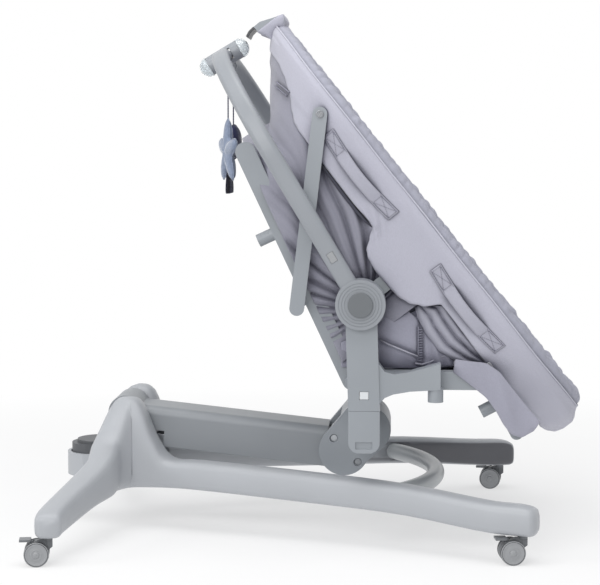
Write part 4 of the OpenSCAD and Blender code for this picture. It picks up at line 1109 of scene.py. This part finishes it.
def wadded_pad(name, node, body, hinge, angle, long, high, corner, channels, board_top):
    """long is the pad's reach along the board, high its two faces above it, both in millimetres."""
    (x0, x1), (z0, z1) = long, high
    grid = slab(x0, x1, PAD_HALF, z0, z1, corner, PAD_GRID)
    piece = make_grid(name, board_to_room(hinge, angle, grid[..., 0], grid[..., 1], grid[..., 2]), lining,
                      body, "lilac_fabric", wrap_rows=True)
    close_ends(piece)
    travelled = swell(piece)
    points = np.array([v.co for v in piece.data.vertices]) * 1000
    local = room_to_board(hinge, angle, points)
    u = np.clip((local[:, 0] - x0) / (x1 - x0), 0, 1)
    v = np.clip(np.abs(local[:, 1]) / PAD_HALF, 0, 1)
    top = local[:, 2] > (z0 + z1) / 2
    for at in channels:
        groove = np.exp(-(((local[:, 0] - at) / CHANNEL_WIDE) ** 2)) * np.clip(1.15 - v, 0, 1)
        local[:, 2] -= np.where(top, CHANNEL_DEEP * groove, 0)
    side_groove = np.exp(-(((np.abs(local[:, 1]) - PAD_HALF * SIDE_SEAM_AT) / CHANNEL_WIDE) ** 2))
    fade = np.clip(np.sin(math.pi * u) * 3, 0, 1)
    local[:, 2] -= np.where(top, SIDE_SEAM_DEEP * side_groove * fade, 0)
    local[:, 2] += np.where(top, 1.2 * ripple(points, 45, 5.0), 0)
    local[:, 2] = np.maximum(local[:, 2], board_top)
    back = board_to_room(hinge, angle, local[:, 0], local[:, 1], local[:, 2])
    piece.data.vertices.foreach_set("co", (back * MM).astype(np.float32).ravel())
    shade_smooth(piece.data)
    subdivide(piece, 1)
    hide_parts(node)
    print(name, "is held to", PAD_TRAVEL, "mm; left free it went up to", round(travelled, 1))


wadded_pad("back_cushion", "back_pad", "backrest", BACK_HINGE, BACK_ANGLE,
           (-402, -42), (12, 26), 24, (-310, -220, -130), 10.4)
wadded_pad("seat_cushion", "seat_pad", "carrier", (BACK_HINGE[0], 0, SEAT_FRONT[2]), 0.0,
           (34, 203), (15, 29), 20, (90, 150), 13.4)
wadded_pad("leg_rest_cushion", "leg_rest_pad", "leg_rest", SEAT_FRONT, LEG_ANGLE,
           (24, 112), (10, 20), 16, (68,), 8.4)

# %% [markdown]
# The liner of the cradle rises from the edges of the backrest as two side walls and a head wall. It
# telescopes inside the outer curtain, so the sides stay closed along most of their length when the
# backrest drops flat. Close to the head end the two part, and the cradle is open there.

# %% Liner walls on the backrest
LINER_HALF, LINER_CORNER = 173.0, 40
LINER_FRONT, LINER_HEAD = -60, -434
LINER_FOOT_Z, LINER_LOW_Z = 11.4, 13


def liner_path():
    """Points (x, y, end) round the edge of the board; end goes from 0 on the sides to 1 at the head."""
    turn_x = LINER_HEAD + LINER_CORNER
    side = [(LINER_FRONT + (turn_x - LINER_FRONT) * k / 29, -LINER_HALF, 0.0) for k in range(30)]
    for k in range(1, 16):
        a = math.pi / 2 * k / 16
        side.append((turn_x - LINER_CORNER * math.sin(a),
                     -LINER_HALF + LINER_CORNER * (1 - math.cos(a)), k / 16))
    head_half = LINER_HALF - LINER_CORNER
    head = [(LINER_HEAD, -head_half + 2 * head_half * k / 16, 1.0) for k in range(17)]
    return side + head + [(x, -y, end) for x, y, end in reversed(side)]


def liner_walls():
    rows, path = 14, liner_path()
    grid = np.zeros((rows + 1, len(path), 3))
    for c, (x, y, end) in enumerate(path):
        tucked = math.copysign(max(abs(y) - 6 * (1 - end), 0), y) * (1 - 0.12 * end)
        grid[0, c] = x + 34 * end, tucked, LINER_FOOT_Z
        height = float(np.interp(x, [-434, -300, -200, -60], [112, 128, 158, 186]))
        for r in range(rows):
            t = r / (rows - 1)
            fold = 2.6 * math.sin(0.11 * (x - y) + 2.2 * t) * t
            lean = 9 * math.sin(math.pi * t) * (1 - end) * 0.5
            grid[r + 1, c] = (x - 2 * t * end + fold * end * 0.5,
                              math.copysign(abs(y) + lean * 0.6 + fold * (1 - end) * 0.6, y),
                              LINER_LOW_Z + height * t)
    spots = board_to_room(BACK_HINGE, BACK_ANGLE, grid[..., 0], grid[..., 1], grid[..., 2])
    piece = make_grid("liner_walls", spots, liner_painted_shade, "backrest", "lilac_fabric", thick=1.6, soften=1)
    return piece


liner = liner_walls()
print("liner walls, square metres:", round(sheet_area(liner), 3))

# %% [markdown]
# Two strips of the lining close the folds between back and seat and between seat and legs. Each is
# sewn to both pads and hangs in a shallow trough over the hinge it covers.

# %% Strips over the two hinges
STRIP_HALF = 167
BACK_TROUGH = [(112, 309), (98, 306), (84, 308), (74, 316), (66, 328), (60, 342)]
LEG_TROUGH = [(262, 311), (282, 309), (300, 304), (314, 293), (324, 279), (334, 262)]


def along_points(points, t):
    """The place at share t of a list of points, each step between two points counting the same."""
    i = t * (len(points) - 1)
    return [float(np.interp(i, range(len(points)), [p[k] for p in points])) for k in (0, 1)]


def hinge_strip(name, points):
    rows, cols = 18, 36
    grid = np.zeros((rows, cols, 3))
    for r in range(rows):
        t = r / (rows - 1)
        x, z = along_points(points, t)
        for c in range(cols):
            v = -1 + 2 * c / (cols - 1)
            pucker = 1.4 * math.sin(v * 31 + 1.3 * math.sin(v * 9)) * math.sin(math.pi * t)
            grid[r, c] = x, STRIP_HALF * v, z + pucker
    piece = make_grid(name, grid, lining, None, "lilac_fabric", thick=1.2, soften=1)
    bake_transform(piece)
    return piece


hinge_strip("back_hinge_strip", BACK_TROUGH)
hinge_strip("leg_hinge_strip", LEG_TROUGH)
print("strips over the hinges are on")

# %% [markdown]
# Under the side panel's hem the liner shows. Beside the seat it is a pocket of cloth, sewn down its
# front edge with a ladder of stitches and piped along a crease. It stretches between the seat and the
# ring.

# %% Seat pocket
POCKET_Y = 203.5
POCKET_FROM, POCKET_LONG = 52, 192
POCKET_SEAM_X = 187
PIPED_CREASE = [(118, 357.4), (134, 349), (149, 343.4), (166, 336), (182.8, 329.4)]
POCKET_HEM = [(178, 317), (190, 315), (204, 319), (217, 326), (230, 331), (244, 329)]
RUNGS, RUNG_STEP = 13, 4.4
pocket_cloth = woven("pocket_cloth", swatch(160, 160, 175), melange=0.07)


def hump(x, start, length, power):
    """0 at the start and the end of a stretch, and 1 half-way along it."""
    return math.sin(math.pi * min(max((x - start) / length, 0), 1)) ** power


def pocket_bulge(x, z, t):
    """How far the pocket stands out at a place: its fill, a crease, the seam, and folds past the seam."""
    fill = 7.5 * math.sin(math.pi * min(t * 1.05, 1)) ** 0.8 * hump(x, 60, 126, 0.5)
    crease = -4.5 * math.exp(-((z - 357 + 0.43 * (x - 118)) / 5.0) ** 2) * (1 if x < 184 else 0.2)
    past_seam = x - POCKET_SEAM_X
    seam = -4.0 * math.exp(-(past_seam / 4.0) ** 2)
    folds = 4.2 * abs(math.sin(past_seam * 0.17 + 0.03 * (z - 330))) * min(max((x - 190) / 10, 0), 1)
    return fill + crease + seam + folds + 2.2 * hum(Vector((x / 40, z / 26, 3.3)))


def seat_pocket(side):
    rows, cols = 26, 44
    grid = np.zeros((rows, cols, 3))
    for c in range(cols):
        x = POCKET_FROM + POCKET_LONG * (c / (cols - 1))
        top = float(np.interp(x, [52, 100, 129, 146, 171, 191, 214, 244],
                              [352, 372, 408, 420, 402, 382, 366, 338]))
        low = float(np.interp(x, [52, 118, 163, 190, 244], [309, 309, 308, 309, 314]))
        for r in range(rows):
            t = r / (rows - 1)
            z = low + (top - low) * t
            grid[r, c] = x, side * (POCKET_Y + pocket_bulge(x, z, t)), z
    piece = make_grid(f"seat_pocket_{hand_of(side)}", grid, pocket_cloth, None, "lilac_fabric",
                      thick=1.2, soften=1)
    ladder = [tube_along([Vector((183.5, side * 209, 322 + RUNG_STEP * k)),
                          Vector((190.5, side * 209, 322 + RUNG_STEP * k + 0.6))], 0.8, 6)
              for k in range(RUNGS)]
    ladder.append(tube_along([Vector((183, side * 208.6, 320 + 3 * k)) for k in range(21)], 1.1, 6))
    stitch = make_piece(f"ladder_stitch_{hand_of(side)}", *joined(ladder), thread_dark, None,
                        "lilac_fabric")
    line = [Vector((x, side * (211.0 + 3 * math.sin(math.pi * (x - 100) / 95)), z))
            for x, z in PIPED_CREASE]
    hem = [Vector((x, side * (206 + 2 * math.sin(x / 9)), z)) for x, z in POCKET_HEM]
    trim = make_piece(f"pocket_piping_{hand_of(side)}",
                      *joined([tube_along(line, 1.5, 8), tube_along(hem, 2.0, 8)]), lilac, None,
                      "lilac_fabric")
    for soft in (piece, stitch, trim):
        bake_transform(soft)
    return piece


print("pocket, mm long:", POCKET_LONG, "with", RUNGS, "rungs")

# %% [markdown]
# Towards the legs the liner comes out from under the hem as a swag: a loose sheet in three long
# rolls, in a smoother cloth that shines a little, with its lower edge turned in under the seat.

# %% Swag
SWAG_Y, SWAG_TURN_Y = 203, 207
SWAG_ROLLS = 3.05
SWAG_HANGS = 0.72
satin = woven("liner_satin", swatch(160, 160, 173), thread=1100, sheen=0.3, rough=0.42, relief=0.12)


def swag(side):
    rows, cols = 64, 60
    grid = np.zeros((rows, cols, 3))
    xs = np.linspace(64, 226, cols)
    for c, x in enumerate(xs):
        low = float(np.interp(x, [64, 81, 109, 148, 188, 217, 226], [66, 58, 52, 51, 66, 90, 97]))
        top = float(np.interp(x, [64, 88, 226], [88, 112, 108]))
        for r in range(rows):
            t = r / (rows - 1)
            if t < SWAG_HANGS:
                v = t / SWAG_HANGS
                z = top + (low - top) * v
                roll = abs(math.sin(math.pi * (SWAG_ROLLS * v + 0.12 * math.sin(x / 30.0)))) ** 0.7
                deep = 12.5 * hump(x, 60, 168, 0.6)
                out = SWAG_Y + deep * (0.35 + 0.65 * roll) + 1.2 * hum(Vector((x / 30, v * 3, 1)))
            else:
                v = (t - SWAG_HANGS) / (1 - SWAG_HANGS)
                z = low + 8 * v + 2 * math.sin(math.pi * v)
                out = SWAG_TURN_Y - 26 * v
            grid[r, c] = x, side * out, z
    spots = ring_to_room(grid[..., 0], grid[..., 1], grid[..., 2])
    piece = make_grid(f"liner_swag_{hand_of(side)}", spots, satin, "cradle", "lilac_fabric", thick=1.0)
    return piece


print("swag, rolls:", SWAG_ROLLS)

# %% [markdown]
# Along each side of the leg rest hangs a plain flap of the cover, in a darker copy of the cover's lilac
# as painted shade. Its two long edges are lists of points, and the cloth between them bellies out a
# little in the middle.

# %% Leg flap
FLAP_Y = 232.8
# Painted shade: the flap's cloth is darker than the cover's lilac.
flap_cloth_painted_shade = woven("flap_cloth_painted_shade", swatch(158, 158, 172))
FLAP_TOP = [(245, 328), (266, 325), (297, 322), (320, 307), (340, 281), (356, 261), (374, 239), (388, 223)]
FLAP_LOW = [(241, 306), (263, 290), (297, 263), (314, 240), (326, 218), (340, 200), (358, 195), (378, 207)]


def leg_flap(side):
    rows, cols = 12, 40
    grid = np.zeros((rows, cols, 3))
    for c in range(cols):
        top, low = along_points(FLAP_TOP, c / (cols - 1)), along_points(FLAP_LOW, c / (cols - 1))
        for r in range(rows):
            t = r / (rows - 1)
            x, z = low[0] + (top[0] - low[0]) * t, low[1] + (top[1] - low[1]) * t
            belly = math.sin(math.pi * t)
            wave = 2.4 * math.sin(c / 3.1 + 2.2 * t) * belly
            grid[r, c] = x, side * (FLAP_Y + wave + 2.6 * belly), z
    piece = make_grid(f"leg_flap_{hand_of(side)}", grid, flap_cloth_painted_shade, "leg_rest", "lilac_fabric",
                      thick=1.4, soften=1)
    return piece


print("flap, mm from the middle:", FLAP_Y)

# %% [markdown]
# Two edges of the side panel stand off the cloth behind them and leave a narrow dark gap: above the
# swag, and under the hem below the head handle. The gap is too thin for the light alone to darken, so
# a slim bead of deep-coloured cloth lies in it. The real cover has no such bead. Then pocket, swag,
# flap and beads are made, first on the baby's right and then on the left.

# %% Dark beads in the gaps, and both sides made
SWAG_GAP = [(74, 82, 1.2), (84, 98, 2.0), (96, 109, 2.4), (130, 111.5, 2.6), (165, 110.5, 2.6),
            (200, 108.5, 2.4), (222, 103, 1.8), (232, 97, 1.0)]
HANDLE_GAP = [(-240, 94, 0.8), (-214, 92, 2.2), (-170, 90, 3.2), (-130, 90, 3.2), (-104, 91, 2.4),
              (-86, 94, 1.0)]
HANDLE_GAP_Y = 219.0


def swag_gap_y(x):
    return 209.5 + 2.0 * math.sin((x - 80) / 48)


def gap_bead(name, side, gap, out):
    """A bead along (x, z, radius) points, as far across the ring as out says at each x."""
    walk = [Vector(ring_to_room(x, side * out(x), z)) for x, z, _ in gap]
    verts, faces = tube_along(walk, [radius for _, _, radius in gap], 10)
    make_piece(f"{name}_{hand_of(side)}", verts, faces, fold_dark, "cradle", "lilac_fabric")


for side in (-1, 1):
    made = [seat_pocket(side), swag(side), leg_flap(side)]
    gap_bead("fold_gap", side, SWAG_GAP, swag_gap_y)
    gap_bead("handle_gap", side, HANDLE_GAP, lambda x: HANDLE_GAP_Y)
    print("made:", ", ".join(piece.name for piece in made), "and two beads")

# %% [markdown]
# Two soft toys hang from the bar on short woven cords: a plush star with a ribbon tail and, behind
# it, a small half-moon. A stuffed toy is two flat shapes sewn face to face and filled, so its
# thickness grows quickly from the seam and levels off in the middle. We write that as a height over
# a polar grid, front and back, and let a raised seam run round the edge.

# %% Stuffed toys
SEAM_R = 1.0
SEAM_PROUD = 1.004


def stuffed(name, node, slot, finish, centre, outline, belly, turn, sides=96, rings=11):
    """outline(angle) is the radius in the y, z plane; belly is half the thickness."""
    rows = []
    steps = [0.06 + 0.94 * (k / (rings - 1)) ** 0.8 for k in range(rings)]
    for front, order in ((-1, steps), (1, steps[::-1][1:])):
        for t in order:
            row = []
            for k in range(sides):
                a = 2 * math.pi * k / sides
                r = outline(a) * t
                plump = belly * (max(1 - t ** 2.6, 0) ** 0.55) * (0.72 + 0.28 * outline(a) / 60)
                y, z = r * math.cos(a), r * math.sin(a)
                soft = 1 + 0.10 * hum(Vector((y / 16, z / 16, front * 3.0)))
                row.append((front * (plump * soft + 0.8), y, z))
            rows.append(row)
    grid = np.array(rows)
    c, s = math.cos(turn), math.sin(turn)
    x, y = grid[..., 0].copy(), grid[..., 1].copy()
    grid[..., 0], grid[..., 1] = centre[0] + x * c - y * s, centre[1] + x * s + y * c
    grid[..., 2] += centre[2]
    piece = make_grid(name, grid, finish, node, slot, wrap_cols=True, soften=1)
    close_ends(piece)
    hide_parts(node)
    seam = []
    for k in range(sides + 1):
        a = 2 * math.pi * k / sides
        r = outline(a) * SEAM_PROUD
        y, z = r * math.cos(a), r * math.sin(a)
        seam.append(Vector((centre[0] - y * s, centre[1] + y * c, centre[2] + z)))
    verts, faces = tube_along(seam, SEAM_R, 6, caps=False)
    make_piece(name + "_seam", verts, faces, finish, node, slot)
    print(name, "is closed, with", len(piece.data.polygons), "faces")


def star_outline(a):
    """Five blunt points, one of them upwards, with soft valleys between."""
    share = ((a - math.pi / 2) / (2 * math.pi / 5)) % 1.0
    off = min(share, 1 - share) * 2
    return 27.5 + 32.5 * (math.cos(math.pi * off) * 0.5 + 0.5) ** 1.7


def moon_outline(a):
    """A disc with a soft bite out of its near upper side."""
    bite = math.exp(-(((a - 2.6 + math.pi) % (2 * math.pi) - math.pi) / 0.62) ** 2)
    return 32.0 * (1 - 0.42 * bite)


def hung_middle(node, reach):
    """The middle of a toy whose top is the top of its node, and its reach below that."""
    low, high = ([1000 * v for v in corner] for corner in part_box(node))
    return (low[1] + high[1]) / 2, high[2] - reach


moon_low, moon_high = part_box("moon_toy")
TOY_X = (1000 * moon_low[0] + 1000 * moon_high[0]) / 2
STAR_MIDDLE = (TOY_X, *hung_middle("star_toy", 60))
MOON_MIDDLE = (TOY_X, *hung_middle("moon_toy", 32))
stuffed("plush_star", "star_toy", "blue_plush", plush_blue, STAR_MIDDLE, star_outline, 8.5,
        math.radians(20))
stuffed("plush_moon", "moon_toy", "navy_plush", plush_navy, MOON_MIDDLE, moon_outline, 9.5,
        math.radians(-18))

# %% [markdown]
# The star's tail is a doubled navy ribbon, and the cords are thin and round with a slight twist.
# Each cord runs from the eye on the bar to the top of its toy.

# %% Ribbon tail and toy cords
RIBBON_GAP = 2.6
CORD_R = 1.2


def ribbon_tail(centre, node, name, width, drop, turn):
    rows, cols = 40, 6
    grid = np.zeros((rows, cols, 3))
    for r in range(rows):
        t = r / (rows - 1)
        fold = math.sin(math.pi * t)
        z = -drop * math.sin(math.pi * min(t, 1 - t)) ** 0.9
        x = (RIBBON_GAP * (1 if t < 0.5 else -1)) * fold ** 0.4 + 1.2 * math.sin(7 * t)
        for c in range(cols):
            w = width * (c / (cols - 1) - 0.5)
            twist = turn + 0.5 * (t - 0.5)
            grid[r, c] = (centre[0] + x + w * math.sin(twist), centre[1] + w * math.cos(twist),
                          centre[2] + z + 0.12 * w)
    piece = make_grid(name, grid, navy, node, "navy_plush", thick=0.7, soften=1)


ribbon_tail((STAR_MIDDLE[0] + 3, STAR_MIDDLE[1] - 3, STAR_MIDDLE[2] - 24), "star_toy", "star_ribbon",
            14, 49, 0.5)


def toy_cord(name, node):
    low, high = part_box(node)
    x, y = 500 * (low[0] + high[0]), 500 * (low[1] + high[1])
    top, bottom = 1000 * high[2], 1000 * low[2]
    n = 60
    path = [Vector((x, y, top + (bottom - top) * k / n)) for k in range(n + 1)]
    radii = [CORD_R + 0.12 * math.sin(k * 2.1) for k in range(n + 1)]
    verts, faces = tube_along(path, radii, 10)
    piece = make_piece(name, verts, faces, navy, node, "navy_plush", stands_for=(node,))
    print(name, "is", round(top - bottom), "mm long")


toy_cord("cord_of_star", "star_cord")
toy_cord("cord_of_moon", "moon_cord")
print("toys hang at x, mm:", round(TOY_X, 1))

# %% [markdown]
# Small turned details finish the casters: each wheel is a disc with a shallow dish, a hub boss and a
# narrow tyre. A lathe makes them: a profile of (radius, place along the axle) is spun round.

# %% Wheels with tyres and discs
def spun(profile, centre, axle, up, sides=64):
    """Spin (radius, along) pairs about the axle through centre; gives verts and faces."""
    axle, up = Vector(axle).normalized(), Vector(up).normalized()
    across = axle.cross(up)
    verts = []
    for radius, along in profile:
        for k in range(sides):
            a = 2 * math.pi * k / sides
            verts.append(Vector(centre) + axle * along + (up * math.cos(a) + across * math.sin(a)) * radius)
    return verts, faces_of(len(profile), sides, wrap_cols=True)


TYRE = [(17.6, 8.3), (19.2, 8.2), (20.5, 9.2), (20.75, 11.5), (20.75, 15.5), (20.5, 17.8),
        (19.2, 19.0), (18.0, 19.3)]
DISC = [(18.2, 19.25), (17.4, 19.9), (16.6, 19.4), (9.4, 18.95), (8.8, 19.5), (7.9, 19.6), (7.2, 19.1),
        (5.2, 19.2), (4.6, 20.3), (3.2, 20.8), (0.4, 20.9)]
YAW = {"rear": 9.0, "front": 7.0}
for side in SIDES:
    end, hand = side.split("_")
    low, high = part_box(f"caster_wheels_{side}")
    middle = (Vector(low) + Vector(high)) * 500
    turn = math.radians(YAW[end] if hand == "right" else -YAW[end])
    axle = Vector((-math.sin(turn), math.cos(turn), 0))
    tyres = joined([spun(TYRE, middle, axle * k, (0, 0, 1)) for k in (-1, 1)])
    discs = joined([spun(DISC, middle, axle * k, (0, 0, 1)) for k in (-1, 1)])
    make_piece(f"tyres_{side}", *tyres, rubber, f"wheels_{side}", "wheel_rubber")
    make_piece(f"wheel_discs_{side}", *discs, wheel_grey, f"wheels_{side}", "wheel_rubber")
print("tyres and discs on", len(SIDES), "casters")

# %% [markdown]
# At the head end the cloth is pulled over the plastic block that holds the recline lever, and only
# the block's front lip and the lever stay bare. The cover follows the block, so we start from the
# block's own mesh, swell it a little, remesh it to an even skin, relax it, and cut it off at the lip.

# %% Cloth over the head block
COVER_SWELL, COVER_VOXEL = 2.2, 3.2
COVER_RIPPLE = 0.5
LIP_AT = -478.0
CUT_TO_FOOT = (0.6239, 0, -0.7815)      # the ring's slope down to the foot end, in four digits


def head_cover():
    block = nodes["head_block"]
    mesh = bpy.data.meshes.new("head_cover")
    bm = bmesh.new()
    bm.from_mesh(block.data)
    bm.transform(block.matrix_world)
    bmesh.ops.remove_doubles(bm, verts=bm.verts, dist=WELD_WITHIN)
    bm.normal_update()
    for v in bm.verts:
        v.co += v.normal * COVER_SWELL * MM
    bm.to_mesh(mesh)
    bm.free()
    piece = bpy.data.objects.new("head_cover", mesh)
    bpy.context.scene.collection.objects.link(piece)
    skin = piece.modifiers.new("skin", "REMESH")
    skin.mode, skin.voxel_size, skin.use_smooth_shade = "VOXEL", COVER_VOXEL * MM, True
    relax = piece.modifiers.new("relax", "SMOOTH")
    relax.factor, relax.iterations = 0.5, 6
    made = bpy.data.meshes.new_from_object(piece.evaluated_get(bpy.context.evaluated_depsgraph_get()))
    piece.modifiers.clear()
    piece.data = made
    bm = bmesh.new()
    bm.from_mesh(made)
    lip = Vector(ring_to_room(LIP_AT, 0.0, 140.0) * MM)
    to_foot = Vector(CUT_TO_FOOT)
    bmesh.ops.bisect_plane(bm, geom=bm.verts[:] + bm.edges[:] + bm.faces[:], plane_co=lip,
                           plane_no=to_foot, clear_inner=True)
    bmesh.ops.holes_fill(bm, edges=[e for e in bm.edges if e.is_boundary], sides=0)
    for v in bm.verts:
        v.co += v.normal * COVER_RIPPLE * MM * hum(Vector(v.co) * 60)
    bm.to_mesh(made)
    bm.free()
    shade_smooth(made)
    made.materials.clear()
    made.materials.append(lilac)
    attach(piece, "cradle")
    return piece


cover = head_cover()
print("head cover faces:", len(cover.data.polygons))

low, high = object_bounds()
print("box of the finished model, mm:", [round(1000 * v) for v in (*low, *high)])
